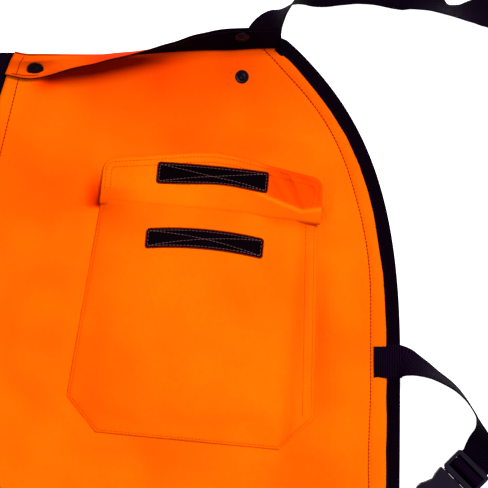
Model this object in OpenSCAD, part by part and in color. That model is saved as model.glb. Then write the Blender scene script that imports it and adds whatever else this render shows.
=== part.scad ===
// Apron chainsaw chaps, laid flat on the ground with the front side up.
// X runs across the wearer (+X is the wearer's left leg), Y runs up the legs, Z is up.
// The origin is on the ground, in the middle of the chaps.
// Outlines are drawn in "cut" coordinates: x from the centre line, d down from the waist fold.

/* [Leg panels] */
// Length of a leg from the waist fold to the hem
leg_length = 960; // [950:5:1000]
// Depth of the crotch below the waist fold
crotch_depth = 410; // [400:5:420]
// Greatest half width, from the centre line to the outer edge
side_x = 372; // [368:1:376]
// How much the outer edge draws in towards the hem
side_taper = 20; // [10:1:30]
// Radius of the hem corners
hem_r = 45; // [35:1:50]
// Depth of the V notch at the front of the waist
notch_depth = 77; // [60:1:85]
// Half width of the V notch at the waist fold
notch_half = 25; // [20:1:28]

/* [Layers] */
// Thickness of the black lining
lining_t = 2.4; // [2.2:0.1:2.4]
// Thickness of the cut-resistant pad
pad_t = 3.9; // [3:0.1:3.9]
// Thickness of the orange shell cloth
shell_t = 0.8; // [0.6:0.1:0.8]
// Visible width of the black edge binding
binding_w = 12.5; // [11:0.5:14]

/* [Waist flaps] */
// Height of the waist flaps at the side
flap_h = 36; // [33:1:38]
// Height of the waist flaps at the notch
flap_notch_h = 27; // [25:1:30]
// Distance of the side press stud from the waist fold
side_stud_drop = 24; // [22:1:26]
// Distance of the notch press stud from the waist fold
notch_stud_drop = 16; // [14:1:18]
// Angle at which the loose end of the left flap stands, 0 is snapped shut
loose_angle = 120; // [100:1:130]

/* [Pocket] */
// Width of the pocket at its mouth
pocket_w = 198; // [180:1:200]
// Height of the pocket below its mouth
pocket_h = 207; // [190:1:215]
// Depth of the pocket, from the shell to the pocket front
pocket_depth = 6; // [5.6:0.1:7]
// Tilt of the pocket across the leg
pocket_tilt = 5.5; // [0:0.5:8]
// Height of the pocket flap at its middle
pocket_flap_h = 50; // [44:1:54]
// Angle at which the pocket flap lies open, 0 would be flat on the pocket
pocket_flap_angle = 178; // [176:1:179]

/* [Straps] */
// Width of the leg strap webbing
strap_w = 30; // [28:1:30]
// Thickness of the leg strap webbing
strap_t = 1.3; // [1:0.1:1.3]
// Distance of the first leg strap below the waist fold
first_strap = 281; // [275:1:285]
// Distance between one leg strap and the next
strap_pitch = 215; // [205:1:216]
// Width of the waist belt webbing
belt_w = 40; // [38:1:40]
// Thickness of the waist belt webbing
belt_t = 1.4; // [1.2:0.1:1.6]

/* [Hidden] */
SIDES = ["left", "right"];
LEVELS = ["thigh", "knee", "calf"];
LEG_PIECES = ["shell", "cut_pad", "lining", "outer_binding", "inner_binding", "outer_tabs"];
STRAP_PIECES = ["strap", "buckle_prongs", "buckle_socket", "inner_strap"];
$fn = 48;

ORANGE = [1.0, 0.38, 0.02];
BLACK = [0.06, 0.05, 0.08];
PAD_WHITE = [0.86, 0.84, 0.78];
METAL = [0.22, 0.20, 0.20];
PLASTIC = [0.08, 0.08, 0.10];

gap = 0.1;                 // air left between two layers
half_gap = 0.15;           // the two legs meet this far from the centre line
cut = 1;                   // how far a cutter runs past a face
far = 2000;                // larger than the whole object

// Heights of the layers above the ground
lip_t = 0.8;
pad_z = lining_t + gap;
shell_z = pad_z + pad_t + gap;
shell_top = shell_z + shell_t;
binding_top = shell_top + gap + lip_t;
wall_t = 0.9;
pad_drop = 95;             // the pad starts this far below the waist fold

// Waist flaps: two layers that turn about their common plane
flap_layer = 0.7;
flap_axis_z = 10.9;
flap_end = 262;
flap_notch_slope = notch_half / notch_depth;
snapped_end = 120;
loose_start = 140;
notch_stud = [43, notch_stud_drop];    // [x, d] of each press stud
side_stud = [229.5, side_stud_drop];
STUDS = [notch_stud, side_stud];

// The chaps are centred along Y on the hem and the top of the standing flap
flap_rise = flap_h * cos(180 - loose_angle) + flap_layer * sin(180 - loose_angle);
y_top = (leg_length - flap_rise) / 2;

// Pocket
pocket_x = 104;
pocket_drop = 132.8;
pocket_cloth = 0.8;
pocket_front_z = shell_top + pocket_depth;
pocket_axis_z = pocket_front_z + 1.6;
mouth_gap = 4;
tape_size = [101, 20];
tape_t = 1;
tape_offset = 27.5;

// ---------- curves ----------

function bezier(p0, p1, p2, p3, n) =
    [for (i = [0:n]) let (t = i / n, u = 1 - t)
        u * u * u * p0 + 3 * t * u * u * p1 + 3 * t * t * u * p2 + t * t * t * p3];

function arc(centre, r, a0, a1, n) =
    [for (i = [0:n]) let (a = a0 + (a1 - a0) * i / n) centre + r * [cos(a), sin(a)]];

function reversed(v) = [for (i = [len(v) - 1:-1:0]) v[i]];

function slice(v, a, b) = [for (i = [a:b]) v[i]];

function side_normal(a, b) = let (t = (b - a) / norm(b - a)) [-t[1], t[0]];

// Moves an open line sideways by w, keeping its corners mitred
function inset(pts, w) =
    [for (i = [0:len(pts) - 1])
        let (a = pts[max(i - 1, 0)], b = pts[i], c = pts[min(i + 1, len(pts) - 1)],
             n1 = i > 0 ? side_normal(a, b) : side_normal(b, c),
             n2 = i < len(pts) - 1 ? side_normal(b, c) : n1,
             m = (n1 + n2) / norm(n1 + n2))
        b + m * w / (m * n1)];

// A closed band between two parallels of a line
function band(pts, w0, w1) = concat(inset(pts, w0), reversed(inset(pts, w1)));

function catmull(p0, p1, p2, p3, t) =
    0.5 * (2 * p1 + (p2 - p0) * t + (2 * p0 - 5 * p1 + 4 * p2 - p3) * t * t
           + (3 * p1 - p0 - 3 * p2 + p3) * t * t * t);

function smooth(pts, n) =
    concat([for (i = [0:len(pts) - 2], k = [0:n - 1])
        catmull(pts[max(i - 1, 0)], pts[i], pts[i + 1], pts[min(i + 2, len(pts) - 1)], k / n)],
        [pts[len(pts) - 1]]);

function place(pts) = [for (p = pts) [p[0], y_top - p[1]]];

// ---------- the leg outline, from the waist corner round the hem to the crotch ----------

hem_centre_d = leg_length - hem_r;
crotch_half = 3;
inner_spread = 57;
full_width_d = 290;

// Outer edge below the hip, and inner edge below the crotch
function outer_x(d) =
    side_x - side_taper * pow((d - full_width_d) / (leg_length - full_width_d), 2);
function inner_x(d) =
    crotch_half + inner_spread
    * (1 - pow(1 - (d - crotch_depth) / (hem_centre_d - crotch_depth), 2.2));

outer_edge = concat(
    [[266, -14]],
    bezier([280, 0], [340, 60], [side_x + 2, 130], [side_x, full_width_d], 24),
    [for (i = [1:12]) let (d = full_width_d + (hem_centre_d - full_width_d) * i / 12) [outer_x(d), d]],
    slice(arc([outer_x(hem_centre_d) - hem_r, hem_centre_d], hem_r, 0, 90, 9), 1, 9),
    arc([inner_x(hem_centre_d) + hem_r, hem_centre_d], hem_r, 90, 180, 9));
inner_edge =
    [for (i = [0:24]) let (d = hem_centre_d + (crotch_depth - hem_centre_d) * i / 24) [inner_x(d), d]];
edge = concat(outer_edge, slice(inner_edge, 1, 24));
n_outer = len(outer_edge);

module below_waist() {
    translate([-far / 2, y_top - far])
        square([far, far]);
}

// A leg panel inset from its edge; start holds its points at the waist
module panel(w, start) {
    intersection() {
        polygon(place(concat(start, inset(edge, w), [[half_gap, crotch_depth]])));
        below_waist();
    }
}

module edge_band(w0, w1, first, last) {
    intersection() {
        polygon(place(concat(slice(inset(edge, w0), first, last),
                             reversed(slice(inset(edge, w1), first, last)))));
        below_waist();
    }
}

// A C-shaped tape that folds round the edge
module binding(first, last) {
    difference() {
        linear_extrude(binding_top)
            edge_band(0, binding_w, first, last);
        translate([0, 0, lip_t])
            linear_extrude(binding_top - 2 * lip_t)
                edge_band(wall_t, binding_w + cut, first, last);
    }
}

module on_side(side) {
    mirror([side == "right" ? 1 : 0, 0, 0])
        children();
}

// ---------- leg straps: places and routes ----------

function strap_d(level) = first_strap + strap_pitch * level;

// Middle of the prongs' webbing bar, from the leg edge at the tab, and the way the buckle points
buckle_at = [61, -97.5];
buckle_heading = 225;
socket_end = 62;
tab_len = 24;

// Outer strap from the tab to the prongs: x, y from the leg edge, height and roll of the webbing
STRAP_ROUTE = [
    [2.8, 0, 8.9, 0], [10.5, -0.7, 10, -12], [20.5, -3.5, 12, -35], [32.5, -10, 14.5, -58],
    [47, -20.5, 15.8, -76], [57, -31, 16, -84], [64, -40.5, 16, -88], [71.5, -52, 16, -92],
    [74.5, -64, 15.5, -112], [73.5, -76, 12.5, -142], [71.2, -87.3, 8, -170], [68.6, -89.9, 6, -180]];

// Inner strap from the socket's bar, round a bend and across the back of the leg
strap_run = 172.5;
inner_start = [16.6, 141.9];
inner_bend_end = [-50, strap_run];
inner_margin = 16;

function inner_route(level) =
    let (d = strap_d(level), end_x = inner_x(d + strap_run) + inner_margin - outer_x(d))
    [for (p = concat(
        bezier(inner_start, inner_start + [-19.8, 19.8], inner_bend_end + [32, 0], inner_bend_end, 10),
        [[end_x, strap_run]])) [p[0] + outer_x(d), p[1] + d]];

module strap_grooves() {
    groove_side = strap_w / 2 + 1.2;
    for (level = [0:2])
        translate([0, 0, -cut])
            linear_extrude(cut + 1.9)
                polygon(place(band(inner_route(level), -groove_side, groove_side)));
}

module at_tab(side, level) {
    d = strap_d(level);
    on_side(side)
        translate([outer_x(d), y_top - d, 0])
            children();
}

module at_buckle(side, level) {
    at_tab(side, level)
        translate(buckle_at)
            rotate(buckle_heading)
                children();
}

// ---------- webbing: a flat ribbon swept along a route of [x, y, z, roll] ----------

function xyz(p) = [p[0], p[1], p[2]];

function ribbon_ring(rings, i, w, t) =
    let (a = xyz(rings[max(i - 1, 0)]), c = xyz(rings[min(i + 1, len(rings) - 1)]),
         along = (c - a) / norm(c - a),
         flat = cross([0, 0, 1], along),
         s0 = flat / norm(flat),
         u0 = cross(along, s0),
         roll = rings[i][3],
         s = cos(roll) * s0 + sin(roll) * u0,
         n = cos(roll) * u0 - sin(roll) * s0,
         p = xyz(rings[i]))
    [p + s * w / 2 + n * t / 2, p - s * w / 2 + n * t / 2,
     p - s * w / 2 - n * t / 2, p + s * w / 2 - n * t / 2];

module ribbon(route, w, t, steps) {
    rings = smooth(route, steps);
    n = len(rings);
    points = [for (i = [0:n - 1]) each ribbon_ring(rings, i, w, t)];
    sides = [for (i = [0:n - 2], k = [0:3])
        let (a = 4 * i + k, b = 4 * i + (k + 1) % 4) each [[a, b + 4, b], [a, a + 4, b + 4]]];
    ends = [[0, 1, 2], [0, 2, 3], [4 * n - 4, 4 * n - 2, 4 * n - 3], [4 * n - 4, 4 * n - 1, 4 * n - 2]];
    polyhedron(points, concat(sides, ends));
}

// ---------- side-release buckle ----------
// Drawn along +X from the webbing bar of the prongs to the webbing bar of the socket.

module rounded(x0, x1, half, r) {
    translate([x0 + r, -half])
        square([x1 - x0 - 2 * r, 2 * half]);
    translate([x0, -half + r])
        square([x1 - x0, 2 * half - 2 * r]);
    for (x = [x0 + r, x1 - r], y = [-half + r, half - r])
        translate([x, y])
            circle(r);
}

// Ladder frame with two webbing slots, a guide tongue and two sprung prongs
module prongs(web) {
    h = web / 2;
    color(PLASTIC) {
        translate([0, 0, 2.5])
            linear_extrude(7)
                difference() {
                    rounded(-9, 13, h + 4, 3);
                    for (x = [-5, 4])
                        translate([x, -h - 1])
                            square([4.5, web + 2]);
                }
        translate([12, -3.5, 4])
            cube([30, 7, 4]);
        for (m = [0, 1])
            mirror([0, m, 0])
                translate([0, 0, 3.5])
                    linear_extrude(5)
                        polygon([[12, h - 4.5], [12, h - 0.5], [22, h - 0.8], [29, h + 1.6],
                                 [33, h + 2.2], [39, h + 1.4], [44, h - 2.2], [43, h - 4],
                                 [38, h - 2.6], [30, h - 3], [22, h - 4.2]]);
    }
}

// Hollow body with a mouth for the prongs, side windows to squeeze them, and a webbing bar
module socket(web) {
    h = web / 2;
    profile = [[14.5, h + 4.2], [16, h + 4.8], [22, h + 4.2], [28, h + 2.3], [33, h + 4.6],
               [38, h + 7.2], [42, h + 7.4], [48, h + 5.8], [55, h + 4.4], [60, h + 4],
               [socket_end, h + 2.5]];
    color(PLASTIC)
        difference() {
            translate([0, 0, 0.5])
                linear_extrude(11)
                    polygon(concat(profile, reversed([for (p = profile) [p[0], -p[1]]])));
            translate([14, -h - 2.6, 2.8])
                cube([36, web + 5.2, 6.4]);
            translate([23, -h - 20, 2.8])
                cube([10, web + 40, 6.4]);
            translate([53, -h - 1, 0])
                cube([4.5, web + 2, 20]);
        }
}

// ---------- leg pieces ----------

module shell(side) {
    fold_top = 9.8;
    color(ORANGE)
        on_side(side)
            difference() {
                union() {
                    translate([0, 0, shell_z])
                        linear_extrude(shell_t)
                            panel(1, [[half_gap, notch_depth], [notch_half, 0]]);
                    translate([notch_half, y_top, shell_z])
                        cube([flap_end - notch_half, 0.8, fold_top - shell_z]);
                    // joins the fold to the cloth
                    translate([notch_half, y_top - 0.5, shell_z])
                        cube([flap_end - notch_half, 1, shell_t]);
                }
                for (stud = STUDS)
                    translate([stud[0], y_top - stud[1], 0])
                        cylinder(h = 20, r = 1.7);
            }
}

module cut_pad(side) {
    inset_w = 14;
    color(PAD_WHITE)
        on_side(side)
            translate([0, 0, pad_z])
                linear_extrude(pad_t)
                    intersection() {
                        panel(inset_w, [[4, pad_drop], [4, 0]]);
                        translate([4, y_top - pad_drop - far])
                            square([far, far]);
                    }
}

module lining(side) {
    color(BLACK)
        on_side(side)
            difference() {
                union() {
                    translate([0, 0, lip_t + gap])
                        linear_extrude(lining_t - lip_t - gap)
                            panel(1, [[half_gap, 0]]);
                    linear_extrude(lip_t + gap)
                        panel(binding_w + 0.2, [[half_gap, 0]]);
                }
                strap_grooves();
            }
}

module outer_binding(side) {
    color(BLACK)
        on_side(side)
            difference() {
                binding(0, n_outer - 1);
                strap_grooves();
            }
}

module inner_binding(side) {
    color(BLACK)
        on_side(side)
            binding(n_outer - 1, len(edge) - 1);
}

// A folded patch of webbing at each strap, wrapped over the outer edge
module outer_tabs(side) {
    color(BLACK)
        for (level = [0:2])
            at_tab(side, level)
                translate([-tab_len, -strap_w / 2, binding_top + gap])
                    cube([tab_len + 1, strap_w, strap_t]);
}

module leg_piece(side, piece) {
    if (piece == "shell") shell(side);
    if (piece == "cut_pad") cut_pad(side);
    if (piece == "lining") lining(side);
    if (piece == "outer_binding") outer_binding(side);
    if (piece == "inner_binding") inner_binding(side);
    if (piece == "outer_tabs") outer_tabs(side);
}

// ---------- leg strap pieces ----------

module leg_strap(side, level) {
    color(BLACK)
        at_tab(side, level)
            ribbon(STRAP_ROUTE, strap_w, strap_t, 2);
}

module inner_strap(side, level) {
    color(BLACK)
        on_side(side)
            translate([0, 0, 0.2])
                linear_extrude(strap_t)
                    polygon(place(band(inner_route(level), -strap_w / 2, strap_w / 2)));
}

module strap_piece(side, level, piece) {
    if (piece == "strap") leg_strap(side, level);
    if (piece == "buckle_prongs") at_buckle(side, level) prongs(strap_w);
    if (piece == "buckle_socket") at_buckle(side, level) socket(strap_w);
    if (piece == "inner_strap") inner_strap(side, level);
}

// ---------- waist ----------

// Black insert behind the V notch
module front_gusset() {
    color(BLACK)
        translate([0, 0, shell_z - 1])
            linear_extrude(0.9)
                polygon(place([[-32, 0], [32, 0], [8, notch_depth + 9], [-8, notch_depth + 9]]));
}

// Height of a waist flap at x: it narrows towards the notch
function flap_height(x) =
    flap_notch_h + (flap_h - flap_notch_h) * (x - notch_half) / (flap_end - notch_half);

// One layer of a waist flap between two ends, with a hole at each stud it carries
module flap_layer_piece(x0, x1, z, studs) {
    h0 = flap_height(x0);
    low_x0 = x0 == notch_half ? x0 - h0 * flap_notch_slope : x0;
    difference() {
        translate([0, 0, z])
            linear_extrude(flap_layer - 0.05)
                polygon([[x0, 0], [x1, 0], [x1, -flap_height(x1)], [low_x0, -h0]]);
        for (stud = studs)
            translate([stud[0], -stud[1], -5])
                cylinder(h = 10, r = 1.7);
    }
}

module flap_cloth(x0, x1, studs) {
    color(ORANGE)
        flap_layer_piece(x0, x1, 0.05, studs);
}

module flap_facing(x0, x1, studs) {
    color(BLACK)
        flap_layer_piece(x0, x1, -flap_layer, studs);
}

module at_flap(side, angle) {
    on_side(side)
        translate([0, y_top, flap_axis_z])
            rotate([-angle, 0, 0])
                children();
}

// Domed cap on the outside of a flap, with its rivet barrel
module stud_cap(stud) {
    color(METAL)
        translate([stud[0], -stud[1], 0]) {
            translate([0, 0, flap_layer])
                cylinder(h = 1, r = 7.5);
            translate([0, 0, flap_layer + 1])
                cylinder(h = 0.7, r1 = 7.5, r2 = 5);
            translate([0, 0, -flap_layer])
                cylinder(h = 2 * flap_layer + 0.2, r = 1.5);
        }
}

// Ring under a flap that snaps over the knob
module stud_socket(stud) {
    color(METAL)
        translate([stud[0], -stud[1], -flap_layer - 2.1])
            difference() {
                cylinder(h = 2, r = 6.2);
                translate([0, 0, -cut])
                    cylinder(h = cut + 1.6, r = 2.6);
            }
}

module panel_studs() {
    color(METAL)
        for (side = SIDES, stud = STUDS)
            on_side(side)
                translate([stud[0], y_top - stud[1], shell_top + 0.05]) {
                    cylinder(h = 0.7, r = 6);
                    cylinder(h = 2.2, r = 2.1);
                }
}

module panel_stud_rivets() {
    color(METAL)
        for (side = SIDES, stud = STUDS)
            on_side(side)
                translate([stud[0], y_top - stud[1], shell_z - 0.65]) {
                    cylinder(h = 0.6, r = 5.5);
                    cylinder(h = 1.45, r = 1.5);
                }
}

// ---------- pocket ----------

module at_pocket() {
    translate([pocket_x, y_top - pocket_drop, 0])
        rotate(-pocket_tilt)
            children();
}

function pocket_sides() = [
    [-1.5, -mouth_gap], [-15.5, 26 - pocket_h], [13.5, -mouth_gap - pocket_h],
    [pocket_w - 18.5, -mouth_gap - pocket_h], [pocket_w + 10.5, 26 - pocket_h],
    [pocket_w - 3.5, -mouth_gap]];

module pocket_front() {
    color(ORANGE)
        at_pocket()
            translate([0, 0, pocket_front_z])
                linear_extrude(pocket_cloth)
                    polygon(pocket_sides());
}

// The wall that joins the pocket front to the shell on three sides
module pocket_gusset() {
    color(ORANGE)
        at_pocket()
            translate([0, 0, shell_top + gap])
                linear_extrude(pocket_depth - 0.2)
                    polygon(band(pocket_sides(), 0, 1.2));
}

module tape(v, z) {
    color(BLACK)
        translate([(pocket_w - tape_size[0]) / 2 - 2, v - tape_size[1] / 2, z])
            cube([tape_size[0], tape_size[1], tape_t]);
}

module pocket_loop_tape() {
    at_pocket()
        tape(-tape_offset - 1.5, pocket_front_z + pocket_cloth + 0.05);
}

module at_pocket_flap() {
    at_pocket()
        translate([0, 0, pocket_axis_z])
            rotate([180 - pocket_flap_angle, 0, 0])
                children();
}

module pocket_flap() {
    side_h = pocket_flap_h - 13;
    r = 12;
    color(ORANGE)
        at_pocket_flap()
            translate([0, 0, -0.5])
                linear_extrude(1)
                    polygon(concat(
                        [[pocket_w - 1, 0.5]],
                        arc([pocket_w - 1 - r, side_h - r], r, 0, 80, 6),
                        [[pocket_w / 2 - 3, pocket_flap_h]],
                        arc([r - 2, side_h - r], r, 100, 180, 6),
                        [[-2, 0.5]]));
}

module pocket_hook_tape() {
    at_pocket_flap()
        tape(tape_offset - 0.5, 0.5);
}

// ---------- waist belt ----------

belt_buckle = [506, 104.5];

// From its sewn end behind the waist corner: x, d, height and roll of the webbing
BELT_ROUTE = [
    [242, 12, 4.4, 0], [250, -12, 4.8, 0], [258, -26, 10, -25], [267, -35, 16, -58],
    [278, -42, 20.5, -90], [292, -50, 19, -125], [309, -55, 12, -155], [330, -57.5, 5, -173],
    [355, -57, 3, -180], [380, -52, 8, -194], [400, -43, 17, -230], [418, -36, 20.5, -252],
    [435, -33, 17, -230], [452, -30, 13, -212], [470, -24, 15, -226], [486, -13, 20, -252],
    [498, 4, 20.5, -272], [505, 26, 19, -300], [508, 50, 12, -330], [507, 74, 6.5, -352],
    [506, 95, 6, -360]];

function belt_route() = [for (p = BELT_ROUTE) [p[0], y_top - p[1], p[2], p[3]]];

module waist_belt(side) {
    color(BLACK)
        on_side(side)
            ribbon(belt_route(), belt_w, belt_t, 3);
}

module waist_buckle_prongs() {
    translate([belt_buckle[0], y_top - belt_buckle[1], 0])
        rotate(-90)
            prongs(belt_w);
}

module waist_buckle_socket() {
    translate([-belt_buckle[0], y_top - belt_buckle[1] - socket_end + 8.7, 0])
        rotate(90)
            socket(belt_w);
}

// ---------- the pieces ----------

for (s = SIDES, p = LEG_PIECES)
    leg_piece(s, p);
for (s = SIDES, l = [0:2], p = STRAP_PIECES)
    strap_piece(s, l, p);
front_gusset();
at_flap("left", 0) flap_cloth(notch_half, snapped_end, [notch_stud]);  // left_flap_snapped
at_flap("left", 0) flap_facing(notch_half, snapped_end, [notch_stud]);  // left_flap_snapped_facing
at_flap("left", loose_angle) flap_cloth(loose_start, flap_end, [side_stud]);  // left_flap_loose
at_flap("left", loose_angle) flap_facing(loose_start, flap_end, [side_stud]);  // left_flap_loose_facing
at_flap("right", 0) flap_cloth(notch_half, flap_end, STUDS);  // right_flap
at_flap("right", 0) flap_facing(notch_half, flap_end, STUDS);  // right_flap_facing
panel_studs();
panel_stud_rivets();
at_flap("left", 0) stud_cap(notch_stud);  // snapped_cap
at_flap("left", 0) stud_socket(notch_stud);  // snapped_socket
at_flap("left", loose_angle) stud_cap(side_stud);  // loose_cap
at_flap("left", loose_angle) stud_socket(side_stud);  // loose_socket
at_flap("right", 0) for (stud = STUDS) stud_cap(stud);  // right_flap_caps
at_flap("right", 0) for (stud = STUDS) stud_socket(stud);  // right_flap_sockets
pocket_front();
pocket_gusset();
pocket_loop_tape();
pocket_flap();
pocket_hook_tape();
waist_belt("left");  // left_waist_belt
waist_belt("right");  // right_waist_belt
waist_buckle_prongs();
waist_buckle_socket();
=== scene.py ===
"""Looks of the chainsaw chaps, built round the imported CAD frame.

Shapes are worked out in millimetres in the cut coordinates of the CAD source: x from the centre line
(positive on the wearer's left), d down from the waist fold, z up from the ground. mesh_piece() turns them
into metres.
"""
import math

import bpy
import numpy as np
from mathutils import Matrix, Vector


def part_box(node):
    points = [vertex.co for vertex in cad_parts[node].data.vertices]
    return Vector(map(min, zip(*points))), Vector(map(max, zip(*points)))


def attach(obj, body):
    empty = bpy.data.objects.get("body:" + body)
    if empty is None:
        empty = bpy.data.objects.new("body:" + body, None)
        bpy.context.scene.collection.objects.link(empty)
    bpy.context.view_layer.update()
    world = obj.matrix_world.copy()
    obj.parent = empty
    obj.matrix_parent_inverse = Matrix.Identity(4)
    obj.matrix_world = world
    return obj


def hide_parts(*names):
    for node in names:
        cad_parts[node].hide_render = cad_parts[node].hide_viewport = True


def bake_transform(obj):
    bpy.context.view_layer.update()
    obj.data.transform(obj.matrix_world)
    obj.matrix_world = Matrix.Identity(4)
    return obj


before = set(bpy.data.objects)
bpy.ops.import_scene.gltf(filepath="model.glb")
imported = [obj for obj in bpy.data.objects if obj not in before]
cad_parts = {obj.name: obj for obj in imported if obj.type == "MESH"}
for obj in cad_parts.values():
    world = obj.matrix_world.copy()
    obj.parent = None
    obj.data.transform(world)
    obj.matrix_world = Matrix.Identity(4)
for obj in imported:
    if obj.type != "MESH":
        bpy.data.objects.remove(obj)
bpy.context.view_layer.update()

MM = 0.001
SIDES = ("left", "right")
LEVELS = ("thigh", "knee", "calf")

# ---------- sizes shared with the CAD source ----------
Y_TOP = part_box("front_gusset")[1].y / MM      # y of the waist fold
LEG = 960.0
CROTCH = 410.0
HEM_R = 45.0
HEM_D = LEG - HEM_R
NOTCH_DEPTH = 77.0
NOTCH_HALF = 25.0
FULL_WIDTH_D, FULL_WIDTH = 290.0, 372.0         # the hip curve ends here
SHELL_Z = 7.3                                 # top of the flat shell cloth
FLAP_AXIS_Z = 10.9
FLAP_X = (25.0, 262.0)
FLAP_H = (27.0, 36.0)                         # at the notch and at the side
FLAP_STAND = 120.0                            # angle of the loose flap at rest, in degrees
STUDS = ((43.0, 16.0), (229.5, 24.0))         # x, d
POCKET_X, POCKET_D = 104.0, 132.8
POCKET_TILT = math.radians(5.5)
MOUTH, BEND, FOOT = 4, 181, 211               # below the pocket's hinge
POCKET_LEFT, POCKET_RIGHT = (-1.5, -15.5, 13.5), (194.5, 208.5, 179.5)
FLAP_RIGHT = 197                              # end of the pocket flap
FIRST_STRAP, STRAP_PITCH = 281.0, 215.0
STRAP_W, STRAP_T = 30.0, 1.3
BUCKLE_AT = np.array([61.0, 97.5])            # from the leg edge at the tab: x, d
BELT_W, BELT_T = 40.0, 1.4
SHELL_T, FLAP_PLY_T, LINING_T = 0.7, 0.55, 0.5


# ---------- outline of a leg ----------

def bezier(points, n):
    t = np.linspace(0, 1, n + 1)[:, None]
    p = np.array(points, float)
    return (1 - t) ** 3 * p[0] + 3 * t * (1 - t) ** 2 * p[1] + 3 * t * t * (1 - t) * p[2] + t ** 3 * p[3]


HIP = bezier([(280, 0), (340, 60), (374, 130), (FULL_WIDTH, FULL_WIDTH_D)], 80)


def corner(d):
    """How far a hem corner draws in."""
    below = np.clip(np.asarray(d, float) - HEM_D, 0, HEM_R)
    return HEM_R - np.sqrt(HEM_R ** 2 - below ** 2)


def outer_x(d):
    d = np.asarray(d, float)
    leg = FULL_WIDTH - 20 * ((np.minimum(d, HEM_D) - FULL_WIDTH_D) / (LEG - FULL_WIDTH_D)) ** 2
    return np.where(d < FULL_WIDTH_D, np.interp(d, HIP[:, 1], HIP[:, 0]), leg - corner(d))


def inner_x(d):
    d = np.asarray(d, float)
    notch = NOTCH_HALF * np.clip(1 - d / NOTCH_DEPTH, 0, 1)
    share = np.clip((d - CROTCH) / (HEM_D - CROTCH), 0, 1)
    leg = 3 + 57 * (1 - (1 - share) ** 2.2)
    return np.where(d < CROTCH, notch, leg + corner(d))


def outer_stretch(d):
    """Length along x of one millimetre measured square to the outer edge."""
    slope = (outer_x(d + 2) - outer_x(np.maximum(d - 2, 0))) / (d + 2 - np.maximum(d - 2, 0))
    return np.minimum(np.sqrt(1 + slope ** 2), 2.2)


def outer_gap(x, d):
    """Distance from the outer edge."""
    return (outer_x(d) - x) / outer_stretch(d)


def bound_gap(x, d):
    """Distance from the nearest edge that carries binding."""
    inner = 0.45 * (x - inner_x(d)) + 60 * np.clip((CROTCH - d) / 30, 0, 1)
    return np.minimum(np.minimum(outer_gap(x, d), inner), 0.5 * (LEG - d))


# ---------- small numeric helpers ----------

def ease(t):
    t = np.clip(t, 0, 1)
    return t * t * (3 - 2 * t)


def bump(x, centre, width):
    return np.exp(-((x - centre) / width) ** 2)


RIPPLES = 7


def ripple(x, y, seed, wavelength):
    """Smooth seeded undulation of about unit height."""
    rng = np.random.RandomState(seed)
    total = 0
    for _ in range(RIPPLES):
        angle, phase = rng.uniform(0, math.pi), rng.uniform(0, 2 * math.pi)
        k = 2 * math.pi / (wavelength * rng.uniform(0.7, 1.6))
        total = total + np.sin(k * (x * math.cos(angle) + y * math.sin(angle)) + phase)
    return total / math.sqrt(RIPPLES)


def line_distance(x, y, points):
    """Distance from each (x, y) to a polyline."""
    best = np.full(np.shape(x), 1e9)
    for (ax, ay), (bx, by) in zip(points[:-1], points[1:]):
        ux, uy = bx - ax, by - ay
        t = np.clip(((x - ax) * ux + (y - ay) * uy) / (ux * ux + uy * uy), 0, 1)
        best = np.minimum(best, np.hypot(x - ax - t * ux, y - ay - t * uy))
    return best


def smooth_path(points, steps):
    """Catmull-Rom through the points, steps rings to each stretch."""
    p = np.array(points, float)
    ends = np.vstack([p[:1], p, p[-1:]])
    out = []
    for i in range(len(p) - 1):
        a, b, c, d = ends[i:i + 4]
        for k in range(steps):
            t = k / steps
            out.append(0.5 * (2 * b + (c - a) * t + (2 * a - 5 * b + 4 * c - d) * t * t
                              + (3 * b - a - 3 * c + d) * t ** 3))
    return np.array(out + [p[-1]])


def resample(points, step):
    """The same polyline at an even spacing."""
    p = np.array(points, float)
    along = np.concatenate([[0], np.cumsum(np.linalg.norm(np.diff(p, axis=0), axis=1))])
    n = max(int(round(along[-1] / step)), 2)
    at = np.linspace(0, along[-1], n + 1)
    return np.stack([np.interp(at, along, p[:, i]) for i in range(p.shape[1])], axis=1)


# ---------- materials ----------

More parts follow.
